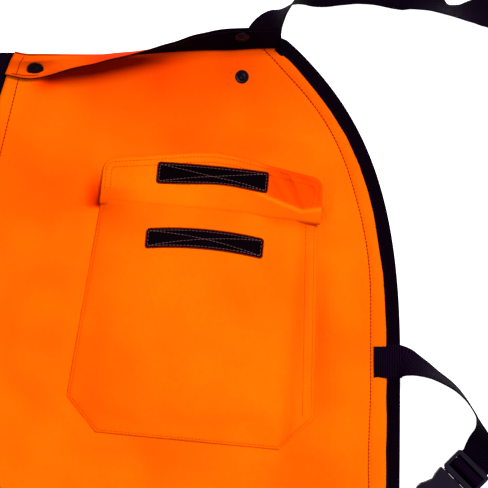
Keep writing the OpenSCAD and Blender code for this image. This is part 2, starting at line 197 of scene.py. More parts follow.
class Nodes:
    """Short calls for building a Principled material."""

    def __init__(self, name, roughness, metallic=0.0, specular=0.5, ior=1.15, displayed=(0.5, 0.5, 0.5)):
        self.material = bpy.data.materials.new(name)
        self.material.use_nodes = True
        self.material.diffuse_color = (*displayed, 1)
        self.tree = self.material.node_tree
        self.shader = self.tree.nodes["Principled BSDF"]
        self.shader.inputs["Roughness"].default_value = roughness
        self.shader.inputs["Metallic"].default_value = metallic
        self.shader.inputs["Specular IOR Level"].default_value = specular
        self.shader.inputs["IOR"].default_value = ior
        self.height = None

    def add(self, kind, inputs=(), **settings):
        node = self.tree.nodes.new(kind)
        for key, value in settings.items():
            setattr(node, key, value)
        for key, value in dict(inputs).items():
            if isinstance(value, bpy.types.NodeSocket):
                self.tree.links.new(value, node.inputs[key])
            else:
                node.inputs[key].default_value = value
        return node

    def place(self, uv=False):
        """Where a point is on the object, or on its cloth."""
        if uv:
            return self.add("ShaderNodeUVMap", uv_map="cloth").outputs["UV"]
        return self.add("ShaderNodeTexCoord").outputs["Object"]

    def noise(self, vector, size, detail=3.0, rough=0.55):
        return self.add("ShaderNodeTexNoise", {"Vector": vector, "Scale": 1 / size, "Detail": detail,
                                               "Roughness": rough}).outputs["Fac"]

    def bands(self, vector, pitch, axis, distortion=0.0):
        """Waves of that pitch in metres along an axis."""
        return self.add("ShaderNodeTexWave", {"Vector": vector, "Scale": 0.31416 / pitch,
                                              "Distortion": distortion,
                                              "Detail": 1.0, "Detail Scale": 1.5},
                        bands_direction=axis).outputs["Fac"]

    def maths(self, operation, a, b):
        return self.add("ShaderNodeMath", {0: a, 1: b}, operation=operation).outputs[0]

    def ramp(self, fac, stops):
        node = self.add("ShaderNodeValToRGB", {"Fac": fac})
        while len(node.color_ramp.elements) < len(stops):
            node.color_ramp.elements.new(0.5)
        for element, (at, colour) in zip(node.color_ramp.elements, stops):
            element.position = at
            element.color = (*colour, 1)
        return node.outputs["Color"]

    def mix(self, fac, a, b):
        node = self.add("ShaderNodeMix", data_type="RGBA")
        for socket, value in ((node.inputs[0], fac), (node.inputs[6], a), (node.inputs[7], b)):
            if isinstance(value, bpy.types.NodeSocket):
                self.tree.links.new(value, socket)
            else:
                socket.default_value = value if isinstance(value, float) else (*value, 1)
        return node.outputs[2]

    def relief(self, height, depth, strength=1.0):
        """Adds a bump of that depth in metres on top of those before it."""
        inputs = {"Height": height, "Distance": depth, "Strength": strength}
        if self.height is not None:
            inputs["Normal"] = self.height
        self.height = self.add("ShaderNodeBump", inputs).outputs["Normal"]
        self.tree.links.new(self.height, self.shader.inputs["Normal"])

    def colour(self, socket):
        self.tree.links.new(socket, self.shader.inputs["Base Color"])

    def rough(self, fac, low, high):
        value = self.add("ShaderNodeMapRange", {"Value": fac, "To Min": low,
                                                "To Max": high}).outputs["Result"]
        self.tree.links.new(value, self.shader.inputs["Roughness"])


def cloth(name, deep, bright, patch, pitch, depth, roughness, toned=False):
    """Woven cloth: broad soft patches between two tones, a weave of that pitch and light slubs.
    Where toned, the mesh's own tone attribute shifts the patches between the two and down to a painted shadow
    colour, so it carries painted shade and painted light as well as the drift of the dye."""
    m = Nodes(name, roughness, specular=0.04, displayed=bright)
    at = m.place()
    patches = m.noise(at, patch, 2.0)
    if toned:
        fade = m.add("ShaderNodeAttribute", attribute_name="tone").outputs["Fac"]
        patches = m.maths("ADD", m.maths("MULTIPLY", m.maths("SUBTRACT", patches, 0.5), 0.5), fade)
    # Painted shadow colour: the darkest stop, reached where a piece's tone attribute paints shade
    shaded = (0.36 * deep[0], 0.07 * deep[1], 0.0)
    tone = m.ramp(patches, ([(0.0, shaded)] if toned else []) + [(0.25, deep), (0.8, bright)])
    warp = m.bands(at, pitch, "X", 0.6)
    weft = m.bands(at, pitch, "Y", 0.6)
    weave = m.maths("MULTIPLY", warp, weft)
    slubs = m.noise(at, pitch * 4, 2.0)
    m.colour(m.mix(m.maths("MULTIPLY", slubs, 0.22), tone, tuple(0.8 * c for c in deep)))
    m.relief(weave, depth)
    m.relief(slubs, depth * 1.6, 0.6)
    m.relief(m.noise(at, 0.011, 3.0), 0.0006, 0.5)
    m.rough(slubs, roughness - 0.06, roughness + 0.08)
    return m.material


def webbing(name, deep, bright, pitch, depth, roughness, specular=0.1):
    """Ribbed woven tape: ribs across its length, fine threads along it."""
    m = Nodes(name, roughness, specular=specular, displayed=bright)
    at = m.place(uv=True)
    ribs = m.bands(at, pitch, "X", 0.5)
    threads = m.bands(at, pitch * 0.7, "Y", 0.8)
    blotch = m.noise(at, 0.02, 3.0)
    rib_tone = m.ramp(ribs, [(0.15, deep), (0.9, bright)])
    m.colour(m.mix(m.maths("MULTIPLY", blotch, 0.5), rib_tone, tuple(0.6 * c for c in deep)))
    m.relief(ribs, depth)
    m.relief(threads, depth * 0.5)
    m.relief(m.noise(at, 0.0012, 2.0), depth * 0.5, 0.6)
    m.rough(blotch, roughness - 0.08, roughness + 0.1)
    return m.material


def pile(name, deep, bright, size, depth, roughness):
    """Hook or loop pile: a tangle of short fibres."""
    m = Nodes(name, roughness, specular=0.03, displayed=bright)
    at = m.place(uv=True)
    tangle = m.noise(at, size, 4.0, 0.7)
    rows = m.bands(at, size * 2.2, "Y", 3.0)
    m.colour(m.ramp(tangle, [(0.35, deep), (0.75, bright)]))
    m.relief(tangle, depth)
    m.relief(rows, depth * 0.5, 0.7)
    return m.material


def plastic(name, deep, bright, roughness):
    """Moulded nylon with a fine spark texture and faint flow marks."""
    m = Nodes(name, roughness, specular=0.5, ior=1.2, displayed=bright)
    at = m.place()
    grain = m.noise(at, 0.0007, 4.0, 0.6)
    flow = m.noise(at, 0.009, 2.0)
    m.colour(m.mix(m.maths("MULTIPLY", flow, 0.8), bright, deep))
    m.relief(grain, 0.00006)
    m.relief(flow, 0.0002, 0.4)
    m.rough(grain, roughness - 0.07, roughness + 0.12)
    return m.material


def metal(name, deep, bright, roughness):
    """Lacquered press stud metal with light scratches and worn lacquer."""
    m = Nodes(name, roughness, metallic=0.9, displayed=bright)
    at = m.place()
    wear = m.noise(at, 0.0022, 4.0, 0.7)
    scratch = m.noise(at, 0.0004, 2.0)
    m.colour(m.ramp(wear, [(0.35, deep), (0.72, bright)]))
    m.relief(scratch, 0.00004)
    m.relief(wear, 0.00008, 0.6)
    m.rough(wear, roughness - 0.1, roughness + 0.15)
    return m.material


def fibre(name, deep, bright):
    """Loose protective fibre, as in the cut-resistant pad."""
    m = Nodes(name, 0.85, specular=0.1, displayed=bright)
    at = m.place()
    strands = m.bands(at, 0.0011, "Y", 6.0)
    clumps = m.noise(at, 0.006, 4.0, 0.7)
    m.colour(m.mix(clumps, deep, bright))
    m.relief(strands, 0.0003)
    m.relief(clumps, 0.0008, 0.8)
    return m.material


# Toned: each orange piece's tone attribute paints shade and light onto this cloth
ORANGE = cloth("orange_cloth", (0.90, 0.045, 0.0), (1.0, 0.195, 0.0008), 0.11, 0.0011, 0.00009, 0.7,
               toned=True)
LINING = cloth("black_lining", (0.0022, 0.0008, 0.003), (0.0055, 0.002, 0.007), 0.05, 0.0009, 0.0001, 0.75)
FACING = cloth("flap_facing", (0.002, 0.0003, 0.002), (0.0045, 0.0009, 0.005), 0.04, 0.0009, 0.00012, 0.75)
BINDING = webbing("binding_tape", (0.0015, 0.0002, 0.0015), (0.0055, 0.0012, 0.006), 0.0012, 0.00012, 0.7,
                  0.03)
STRAP = webbing("strap_webbing", (0.0018, 0.0003, 0.0026), (0.0095, 0.0028, 0.015), 0.0021, 0.0003, 0.6, 0.04)
BELT = webbing("belt_webbing", (0.0018, 0.0003, 0.0025), (0.006, 0.002, 0.010), 0.0016, 0.00018, 0.65, 0.05)
LOOP = pile("loop_tape", (0.0012, 0.0003, 0.001), (0.006, 0.002, 0.004), 0.0006, 0.0003, 0.9)
HOOK = pile("hook_tape", (0.001, 0.0002, 0.0008), (0.0045, 0.0012, 0.003), 0.0005, 0.0002, 0.8)
PLASTIC = plastic("buckle_plastic", (0.002, 0.0006, 0.0035), (0.009, 0.0035, 0.016), 0.42)
METAL = metal("stud_metal", (0.003, 0.001, 0.003), (0.022, 0.013, 0.018), 0.4)
FIBRE = fibre("pad_fibre", (0.55, 0.50, 0.40), (0.85, 0.82, 0.74))
THREAD = webbing("seam_thread", (0.40, 0.010, 0.001), (0.56, 0.020, 0.002), 0.0006, 0.0001, 0.7, 0.03)
DARK_THREAD = webbing("dark_thread", (0.004, 0.001, 0.004), (0.014, 0.006, 0.016), 0.0006, 0.0001, 0.6, 0.1)
PALE_THREAD = webbing("tape_thread", (0.12, 0.045, 0.05), (0.30, 0.15, 0.15), 0.0006, 0.0001, 0.6, 0.1)
TONE_THREAD = webbing("tone_thread", (0.72, 0.035, 0.0), (0.88, 0.07, 0.001), 0.0006, 0.0001, 0.7, 0.03)


# ---------- making pieces ----------

def mesh_piece(name, points, faces, material, uv=None, mirror=False, tone=None):
    """An object from (x, d, z) points in millimetres. uv holds a point's place on the cloth, in metres."""
    points = np.asarray(points, float)
    side = -1 if mirror else 1
    if mirror:
        faces = [tuple(reversed(f)) for f in faces]
    mesh = bpy.data.meshes.new(name)
    mesh.from_pydata(np.column_stack([side * points[:, 0], Y_TOP - points[:, 1], points[:, 2]]) * MM, [],
                     faces)
    if uv is not None:
        corners = np.zeros(len(mesh.loops), np.int32)
        mesh.loops.foreach_get("vertex_index", corners)
        layer = mesh.uv_layers.new(name="cloth")
        layer.data.foreach_set("uv", np.asarray(uv, np.float32)[corners].ravel())
    if tone is not None:
        mesh.attributes.new("tone", "FLOAT", "POINT").data.foreach_set("value",
                np.asarray(tone, np.float32).ravel())
    mesh.materials.append(material)
    mesh.shade_smooth()
    made = bpy.data.objects.new(name, mesh)
    bpy.context.scene.collection.objects.link(made)
    return made


def grid_faces(rows, cols, start=0, flip=False):
    out = []
    for r in range(rows - 1):
        for c in range(cols - 1):
            a = start + r * cols + c
            quad = (a, a + cols, a + cols + 1, a + 1)
            out.append(tuple(reversed(quad)) if flip else quad)
    return out


def stack(*grids):
    """Flattens (x, d, z) grids to points."""
    return np.column_stack([np.asarray(g, float).ravel() for g in grids])


def thicken(made, thickness, offset=-1.0):
    solid = made.modifiers.new("thickness", "SOLIDIFY")
    solid.thickness = thickness * MM
    solid.offset = offset
    return made


def settle(made, body, slot, *nodes):
    """Rides made on a body and hides the CAD nodes that it stands for; slot, the name of its finish, is not
    used.
    """
    if body:
        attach(made, body)
    if nodes:
        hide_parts(*nodes)
    return made


# ---------- webbing ----------

def ribbon_frames(rings):
    """Across and outward directions of a ribbon along (x, d, z, roll) rings."""
    p = np.column_stack([rings[:, 0], -rings[:, 1], rings[:, 2]])
    along = np.vstack([p[1] - p[0], p[2:] - p[:-2], p[-1] - p[-2]])
    along /= np.linalg.norm(along, axis=1)[:, None]
    flat = np.cross([0, 0, 1], along)
    flat /= np.linalg.norm(flat, axis=1)[:, None]
    up = np.cross(along, flat)
    roll = np.radians(rings[:, 3])[:, None]
    return np.cos(roll) * flat + np.sin(roll) * up, np.cos(roll) * up - np.sin(roll) * flat


def ribbon_part(rings, width, thickness, cup=0.0, seed=1, start=0):
    """Points, faces and cloth places of a soft-edged ribbon. cup bows it across."""
    across, outward = ribbon_frames(rings)
    run = np.concatenate([[0], np.cumsum(np.linalg.norm(np.diff(rings[:, :3], axis=0), axis=1))])
    side = np.array([-0.5, -0.485, -0.43, -0.3, -0.1, 0.1, 0.3, 0.43, 0.485, 0.5])
    rise = np.array([0.1, 0.36, 0.5, 0.5, 0.5, 0.5, 0.5, 0.5, 0.36, 0.1])
    s = np.concatenate([side, side[::-1]])
    t = np.concatenate([rise, -rise[::-1]]) * thickness
    bow = cup * (1 - (2 * s) ** 2)
    wave = 0.25 * ripple(run[:, None], s[None, :] * width * 2, seed, 46)
    fray = 1 + 0.008 * ripple(run, run * 0.3, seed + 7, 17)
    offset = (s[None, :] * width * fray[:, None])[..., None]
    lift = (t + bow)[None, :, None] + wave[..., None]
    p = np.column_stack([rings[:, 0], -rings[:, 1], rings[:, 2]])[:, None, :] + across[:, None, :] * offset \
        + outward[:, None, :] * lift
    n, m = len(rings), len(s)
    points = np.column_stack([p[..., 0].ravel(), -p[..., 1].ravel(), p[..., 2].ravel()])
    uv = np.column_stack([np.repeat(run, m), np.tile(s * width, n)]) * MM
    faces = [(start + i * m + k, start + i * m + (k + 1) % m, start + (i + 1) * m + (k + 1) % m,
              start + (i + 1) * m + k)
             for i in range(n - 1) for k in range(m)]
    faces += [tuple(start + k for k in reversed(range(m))), tuple(start + (n - 1) * m + k for k in range(m))]
    return points, faces, uv


def ribbon(name, route, width, thickness, material, steps=5, mirror=False, cup=0.0, seed=1):
    points, faces, uv = ribbon_part(smooth_path(route, steps), width, thickness, cup, seed)
    return mesh_piece(name, points, faces, material, uv, mirror)


# ---------- stitches ----------

# Along a stitch, its share of the thread's radius and its height
STITCH_RINGS = ((-0.5, 0.25, -0.8), (-0.42, 0.8, -0.2), (-0.2, 1.0, 0.25), (0.2, 1.0, 0.25),
                (0.42, 0.8, -0.2),
                (0.5, 0.25, -0.8))


THREAD_SIDES = 6


class Seams:
    """Collects rows of thread stitches and makes them one piece."""

    def __init__(self):
        self.points, self.faces, self.uv = [], [], []

    def row(self, line, length=3.2, gap=0.08, radius=0.52, lift=0.1, up=None):
        """line is (x, d, z) on the surface. up is the way the stitches stand out."""
        ticks = resample(line, length + gap)
        sides = THREAD_SIDES
        for i in range(len(ticks) - 1):
            a, b = ticks[i], ticks[i + 1]
            middle, along = (a + b) / 2, (b - a) / np.linalg.norm(b - a)
            top = np.array([0, 0, 1.0]) if up is None else np.array(up, float)
            top = top - along * (top @ along)
            top /= np.linalg.norm(top)
            across = np.cross(top, along)
            base = len(self.points)
            for t, r, z in STITCH_RINGS:
                centre = middle + along * t * length + top * (z * radius + lift)
                for k in range(sides):
                    w = 2 * math.pi * k / sides
                    self.points.append(centre + radius * r * (math.cos(w) * across + math.sin(w) * top))
                    self.uv.append((t * length * MM, k * radius * MM))
            for j in range(len(STITCH_RINGS) - 1):
                for k in range(sides):
                    p, q = base + j * sides + k, base + j * sides + (k + 1) % sides
                    self.faces.append((p, p + sides, q + sides, q))
            self.faces.append(tuple(base + k for k in range(sides)))
            last = base + (len(STITCH_RINGS) - 1) * sides
            self.faces.append(tuple(last + k for k in reversed(range(sides))))

    def box_and_cross(self, corners, **how):
        """A sewn rectangle with its diagonals; corners are in order round it."""
        c = [np.array(p, float) for p in corners]
        for a, b in zip(c, c[1:] + c[:1]):
            self.row([a, b], **how)
        self.row([c[0], c[2]], **how)
        self.row([c[1], c[3]], **how)

    def piece(self, name, material, mirror=False):
        return mesh_piece(name, self.points, self.faces, material, self.uv, mirror)


# ---------- straps under the leg ----------

def strap_d(level):
    return FIRST_STRAP + STRAP_PITCH * LEVELS.index(level)


def buckle_point(level, a):
    """(x, d) of a point a along the buckle from the prongs' bar."""
    c = math.sqrt(0.5)
    d = strap_d(level)
    return float(outer_x(d)) + BUCKLE_AT[0] - a * c, d + BUCKLE_AT[1] + a * c


def back_line(level):
    """Middle line of the strap that runs from the socket across the back of the leg: (x, d)."""
    d, drop = strap_d(level), 172.5                # drop from the tab to the level run across the back
    bend = bezier([(16.6, 141.9), (-3.2, 161.7), (-18, drop), (-50, drop)], 10)
    end = float(inner_x(d + drop)) + 16 - float(outer_x(d))
    return np.vstack([bend, [(end, drop)]]) + [float(outer_x(d)), d]


BACK_LINES = [back_line(level) for level in LEVELS]


def over_strap(x, d):
    """1 over a back strap, 0 away from it."""
    gap = np.min([line_distance(x, d, line) for line in BACK_LINES], axis=0)
    return 1 - ease((gap - 16.2) / 3)


# ---------- pocket frame ----------

def pocket_xd(u, v):
    """(x, d) of a point in the pocket's own frame: u across, v up from the flap's hinge."""
    c, s = math.cos(POCKET_TILT), math.sin(POCKET_TILT)
    return POCKET_X + u * c + v * s, POCKET_D + u * s - v * c


def pocket_uv(x, d):
    """The pocket's own frame from (x, d)."""
    c, s = math.cos(POCKET_TILT), math.sin(POCKET_TILT)
    return (x - POCKET_X) * c + (d - POCKET_D) * s, (x - POCKET_X) * s - (d - POCKET_D) * c


def pocket_side(v):
    """Left and right edges of the pocket front at v."""
    return tuple(np.interp(-v, (MOUTH, BEND, FOOT), edge) for edge in (POCKET_LEFT, POCKET_RIGHT))


def inside_pocket(u, v):
    """Distance inside the pocket's sewn edge, negative outside; the mouth doesn't count."""
    left, right = pocket_side(np.clip(v, -FOOT, -MOUTH))
    square = 0.72                                 # turns a distance along u into one square to a cut corner
    drawn_in = (-BEND - v) * 29 / 30
    slanted = np.minimum((u - POCKET_LEFT[1] - drawn_in) * square, (POCKET_RIGHT[1] - u - drawn_in) * square)
    return np.minimum(np.minimum(np.minimum(u - left, right - u), slanted), v + FOOT)


# ---------- leg cloth ----------

SEAM_GAP_TOP, SEAM_GAP_LOW = 22.0, 27.0


def seam_gap(d):
    """From the outer edge to the outer seam, more below than at the waist."""
    wander = 0.8 * np.sin(d / 47) + 0.5 * np.sin(d / 19 + 1)
    return SEAM_GAP_TOP + (SEAM_GAP_LOW - SEAM_GAP_TOP) * ease((d - 60) / 240) + wander


def seam_x(d):
    return outer_x(d) - seam_gap(d) * outer_stretch(d)


def waist_sag(x):
    """How far the waist edge of the left leg has slipped down."""
    return 5.5 * ease((x - 8) / 32) * (1 - ease((x - 95) / 110)) - 1.6 * ease((x - 215) / 35)


def waist_rise(x):
    """How far the waist fold of the left leg stands up beside its snapped stud."""
    return 8.0 * bump(x, 46, 27)


def waist_d(x, d, left):
    """d with the slip of the left leg's waist edge, which dies out below it."""
    return d + waist_sag(x) * (1 - ease(d / 24)) * left


def leg_base(x, d):
    """Height of the leg cloth before the simulated folds: low at its seams, crowned between them."""
    out, into, hem = outer_gap(x, d), x - inner_x(d), LEG - d
    crown = (1 - np.exp(-np.maximum(out - 8, 0) / 26)) * (1 - np.exp(-np.maximum(into, 0) / 22)) \
        * (1 - np.exp(-np.maximum(hem - 8, 0) / 22)) * (1 - np.exp(-(np.maximum(d, 0) / 75) ** 2))
    z = SHELL_Z + 0.3 + 2.6 * crown
    z = z + crown * (0.9 * ripple(x, d, 3, 120) + 0.35 * ripple(x, d, 5, 46))
    past_seam = np.abs(out - seam_gap(d))
    z = z - 1.3 * np.exp(-(past_seam / 2.0) ** 2) * ease(d / 20)
    z = z + 0.5 * np.exp(-((out - 17) / 5) ** 2) * (1 + 0.5 * np.sin(d / 3.9 + np.sin(d / 11)))
    return z


def leg_fold(x, d):
    """Folds seen on the left leg round its pocket."""
    z = 1.5 * bump(x, 312, 9) * ease((d - 270) / 50) * (1 - ease((d - 400) / 120))
    z = z - 0.8 * bump(x, 333, 12) * ease((d - 260) / 60) * (1 - ease((d - 420) / 100))
    z = z + 1.4 * bump(d - 0.3 * (x - 100), 66, 20) * bump(x, 150, 80)
    z = z + 1.2 * bump(d + 0.5 * (x - 250), 80, 18) * bump(x, 262, 40)
    z = z + 3.6 * ease((x - 62) / 34) * ease((106 - x) / 8) * ease((d - 139) / 4) * (1 - ease((d - 145) / 70))
    z = z - 1.0 * bump(x, 88, 14) * bump(d, 118, 20)
    return z


def leg_z(x, d, pocketed=False, folds=None):
    """Height of a leg's cloth. The left leg lies flat under its pocket and flap."""
    z = leg_base(x, d)
    if folds is not None:
        free = ease((outer_gap(x, d) - seam_gap(d) - 2) / 26) * ease((x - inner_x(d) - 8) / 22) \
            * ease((LEG - 26 - d) / 24) * ease((d - 36) / 30)
        z = z + folds(x, d) * free
    z = z + 1.9 * (1 - ease(d / 7)) * (1 - ease((x - 248) / 12))
    if pocketed:
        z = z + leg_fold(x, d) + waist_rise(x) * (1 - ease((d + 1) / 12))
        u, v = pocket_uv(x, d)
        under = ease((inside_pocket(u, np.minimum(v, -6)) + 12) / 14) * (v < -2)
        flap = ease((u + 12) / 14) * ease((209 - u) / 14) * ease((76 - v) / 30) * (v >= -2)
        z = z + (np.minimum(z, 8.1) - z) * np.maximum(under, flap)
    rim = bound_gap(x, d)                         # the cloth dips below the binding
    z = np.minimum(z, 8.75 + 4 * ease((rim - 5) / 9) + 8 * (1 - ease((d - 300) / 100)))
    return np.maximum(z, SHELL_Z + 0.1) - (0.75 + 0.6 * (1 - ease(rim / 6))) * (1 - ease((rim - 8) / 8))


def leg_rows(step):
    """The rows of a leg's grid, closer round the hem corners."""
    straight = np.arange(0, HEM_D, step)
    turn = HEM_D + HEM_R * np.sin(np.linspace(0, math.pi / 2, 10))
    return np.concatenate([straight, np.minimum(turn[:-1], LEG - 3.4), [LEG - 2.0]])


# Columns beside the outer edge, by their distance from it
EDGE_STEPS = np.array([44, 39, 35, 32, 30, 28.5, 27, 25.5, 24, 22.5, 21, 19, 17, 15, 12.5, 10, 7, 4, 1.2])


def leg_grid(step, inner_cols):
    """(x, d) grids of a leg, with columns along its outer edge where the seam runs."""
    d = leg_rows(step)
    edge = outer_x(d)[:, None] - EDGE_STEPS[None, :] * outer_stretch(d)[:, None]
    start = inner_x(d)[:, None] + 0.02 + 0.58 * ease((d[:, None] - CROTCH + 12) / 12)
    share = np.linspace(0, 1, inner_cols + 1)[:-1]
    inside = start + (edge[:, :1] - start) * share[None, :]
    x = np.hstack([inside, np.maximum(edge, start + 0.5)])
    return x, np.repeat(d[:, None], x.shape[1], axis=1)


def between(values, r, c, a, b):
    """Values at the shares a and b of the way from row r and column c to the next ones."""
    return (values[r, c] * (1 - a) * (1 - b) + values[r + 1, c] * a * (1 - b)
            + values[r, c + 1] * (1 - a) * b + values[r + 1, c + 1] * a * b)


def grid_lookup(values, d_axis, columns):
    """A smooth function of (x, d) from values on a leg grid whose columns are even shares of its width."""
    def at(x, d):
        x, d = np.broadcast_arrays(np.asarray(x, float), np.asarray(d, float))
        share = np.clip((x - inner_x(d)) / (outer_x(d) - inner_x(d)), 0, 1) * (columns - 1)
        row = np.clip(np.interp(d, d_axis, np.arange(len(d_axis))), 0, len(d_axis) - 1.001)
        r, c = row.astype(int), np.minimum(share.astype(int), columns - 2)
        return between(values, r, c, ease(row - r), share - c)
    return at


def cloth_run(points, faces, pinned, frames, growth, stiffness):
    """Blender's cloth on a sheet held at its pinned points: grows it a little, without gravity, and returns
    the settled points, in mm."""
    mesh = bpy.data.meshes.new("cloth_trial")
    mesh.from_pydata(np.asarray(points) * MM, [], faces)
    trial = bpy.data.objects.new("cloth_trial", mesh)
    bpy.context.scene.collection.objects.link(trial)
    group = trial.vertex_groups.new(name="pinned")
    group.add([int(i) for i in np.flatnonzero(pinned)], 1.0, "REPLACE")
    cloth_mod = trial.modifiers.new("cloth", "CLOTH")
    s = cloth_mod.settings
    s.quality = 6
    s.mass = 0.15
    s.tension_stiffness = s.compression_stiffness = 20
    s.shear_stiffness = 8
    s.bending_stiffness = stiffness
    s.air_damping = 2.0
    s.vertex_group_mass = "pinned"
    s.shrink_min = -growth
    s.effector_weights.gravity = 0.0
    cloth_mod.point_cache.frame_start, cloth_mod.point_cache.frame_end = 1, frames
    scene = bpy.context.scene
    for frame_number in range(1, frames + 1):
        scene.frame_set(frame_number)
    evaluated = trial.evaluated_get(bpy.context.evaluated_depsgraph_get())
    co = np.zeros(len(mesh.vertices) * 3)
    evaluated.data.vertices.foreach_get("co", co)
    scene.frame_set(1)
    bpy.data.objects.remove(trial)
    bpy.data.meshes.remove(mesh)
    return co.reshape(-1, 3) / MM


def soften(field, times):
    """The grid averaged with its neighbours."""
    for _ in range(times):
        p = np.pad(field, 1, mode="edge")
        field = (p[:-2, 1:-1] + p[2:, 1:-1] + p[1:-1, :-2] + p[1:-1, 2:] + 4 * p[1:-1, 1:-1]) / 8
    return field


def leg_folds(growth, seed):
    """Simulated folds of a leg's cloth, as a height to add: it is sewn at its seams and a little too wide."""
    rows, columns = np.linspace(0, LEG - 2, 121), 46
    d = np.repeat(rows[:, None], columns, axis=1)
    share = np.linspace(0, 1, columns)[None, :]
    x = inner_x(d) + (outer_x(d) - inner_x(d)) * share
    z = leg_base(x, d) + 0.5 * ripple(x, d, seed, 70)
    pinned = (outer_gap(x, d) < seam_gap(d)) | (x - inner_x(d) < 8) | (LEG - d < 18) | (d < 6)
    for sx, sd in STUDS:
        pinned |= np.hypot(x - sx, d - sd) < 11
    settled = cloth_run(np.column_stack([x.ravel(), -d.ravel(), z.ravel()]), grid_faces(*x.shape),
                        pinned.ravel(),
                        frames=24, growth=growth, stiffness=0.6)
    rise = np.clip(settled[:, 2].reshape(x.shape) - leg_base(x, d), -2.2, 4.0)
    return grid_lookup(soften(rise, 2), rows, columns)


def leg_tone_and_shade(x, d, pocketed):
    """Colour of a leg's cloth, 0 its reddest and darkest, 1 its yellowest: a faint random drift of the dye
    with painted shade and painted light laid over it.
    """
    # A faint random drift of the dye; painted shade along and below the waist and on the left of the leg,
    # painted light in two patches on its right
    tone = 0.58 + 0.04 * ripple(x, d, 111, 150) - 0.16 * bump(d, 20, 42) * bump(x, 180, 110)
    tone = tone - 0.09 * bump(d, 75, 55) * bump(x, 190, 75)
    tone = tone - 0.12 * bump(x, 45, 50) * bump(d, 135, 50)
    tone = tone + 0.12 * bump(x, 322, 30) * bump(d, 235, 95) + 0.12 * bump(x, 285, 42) * bump(d, 88, 28)
    if pocketed:
        beside = (x < POCKET_X) * 1.0
        # Painted shade left of the raised pocket flap, and painted light on the leg below the crease beside
        # it
        tone = tone - 0.46 * beside * ease((x - 82) / 19) * ease((143 - d) / 2) * ease((d - 98) / 38)
        tone = tone + 0.08 * beside * ease((d - 143) / 3) * ease((x - 55) / 20) * (1 - ease((d - 150) / 60))
        # Painted shadow of the twisted waist flap, on the leg below its free edge
        below = d - flap_edge_d(x)
        across = ease((x - 34) / 26) * (1 - ease((x - 150) / 75)) * ease((d - 4) / 6)
        shade = [np.exp(-(np.maximum(below, 0) / reach) ** 2) for reach in (10, 34)]
        tone = tone - 0.62 * shade[0] * across
        tone = tone - 0.16 * shade[1] * ease((x - 70) / 30) * (1 - ease((x - 150) / 75))
    return tone


# ---------- leg pieces ----------


def waist_fold(start, left):
    """The cloth that turns up at the waist and round the hinge of the flap."""
    profile = np.array([(2.2, 8.6), (0.5, 8.9), (-0.6, 9.3), (-1.0, 9.8), (-1.1, 10.3)]
                       + [(-0.95, 10.8)] * left)
    x = np.linspace(FLAP_X[0] + 0.3, FLAP_X[1], 60)
    grid_x = np.repeat(x[None, :], len(profile), axis=0)
    grid_d = np.repeat(profile[:, :1], len(x), axis=1)
    grid_z = np.repeat(profile[:, 1:], len(x), axis=1) + waist_rise(grid_x) * left
    return stack(grid_x, waist_d(grid_x, grid_d, left), grid_z), grid_faces(len(profile), len(x), start,
            flip=True)


def make_leg(side, folds):
    mirror = side == "right"
    pocketed = side == "left"
    x, d = leg_grid(4.5, 58)
    z = leg_z(x, d, pocketed, folds)
    points = stack(x, waist_d(x, d, pocketed), z)
    fold_points, fold_faces = waist_fold(len(points), pocketed)
    faces = grid_faces(*x.shape) + fold_faces
    points = np.vstack([points, fold_points])
    leg = thicken(mesh_piece(f"{side}_leg_cloth", points, faces, ORANGE, mirror=mirror,
                             tone=leg_tone_and_shade(points[:, 0], points[:, 1], pocketed)), SHELL_T)
    settle(leg, "chaps", "orange_cloth", f"{side}_shell")
    return leg


def make_pad(side):
    """The fibre pad inside a leg, quilted in wide squares."""
    rows, cols = 88, 44
    first, last, square = 97, LEG - 16, 80
    d = np.repeat(np.linspace(first, last, rows)[:, None], cols, axis=1)
    share = np.linspace(0, 1, cols)[None, :]
    left, right = np.maximum(inner_x(d) + 14.5, 6), outer_x(d) - 14.5 * outer_stretch(d)
    x = left + (right - left) * share
    lines = np.minimum(*(np.abs((place + square / 2) % square - square / 2) for place in (d - first, x)))
    rim = np.minimum(np.minimum(x - left, right - x), np.minimum(d - first, last - d))
    puff = (1 - np.exp(-lines / 7)) * (1 - np.exp(-rim / 5))
    top, low = 4.7 + 1.7 * puff, 3.5 - 0.9 * puff
    points = np.vstack([stack(x, d, top), stack(x, d, low)])
    n = rows * cols
    faces = grid_faces(rows, cols) + grid_faces(rows, cols, n, flip=True)
    rim_loop = (list(range(cols)) + [r * cols + cols - 1 for r in range(1, rows)]
                + [(rows - 1) * cols + c for c in range(cols - 2, -1, -1)]
                + [r * cols for r in range(rows - 2, 0, -1)])
    for a, b in zip(rim_loop, rim_loop[1:] + rim_loop[:1]):
        faces.append((a, b, b + n, a + n))
    pad = mesh_piece(f"{side}_fibre_pad", points, faces, FIBRE, mirror=side == "right")
    settle(pad, "chaps", "pad_fibre", f"{side}_cut_pad")


def make_lining(side):
    """The lining on the ground, lifted where the back straps run below it."""
    x, d = leg_grid(5.0, 54)
    cover = over_strap(x, d)
    low = 0.12 + 0.1 * (1 + np.clip(ripple(x, d, 11, 60), -1, 1)) + 1.65 * cover
    below = waist_d(x, np.maximum(d, 1.5), side == "left")
    lining = thicken(mesh_piece(f"{side}_leg_lining", stack(x, below, low), grid_faces(*x.shape), LINING,
                                mirror=side == "right"), LINING_T, offset=1.0)
    settle(lining, "chaps", "black_lining", f"{side}_lining")


BINDING_STEP = 3.2


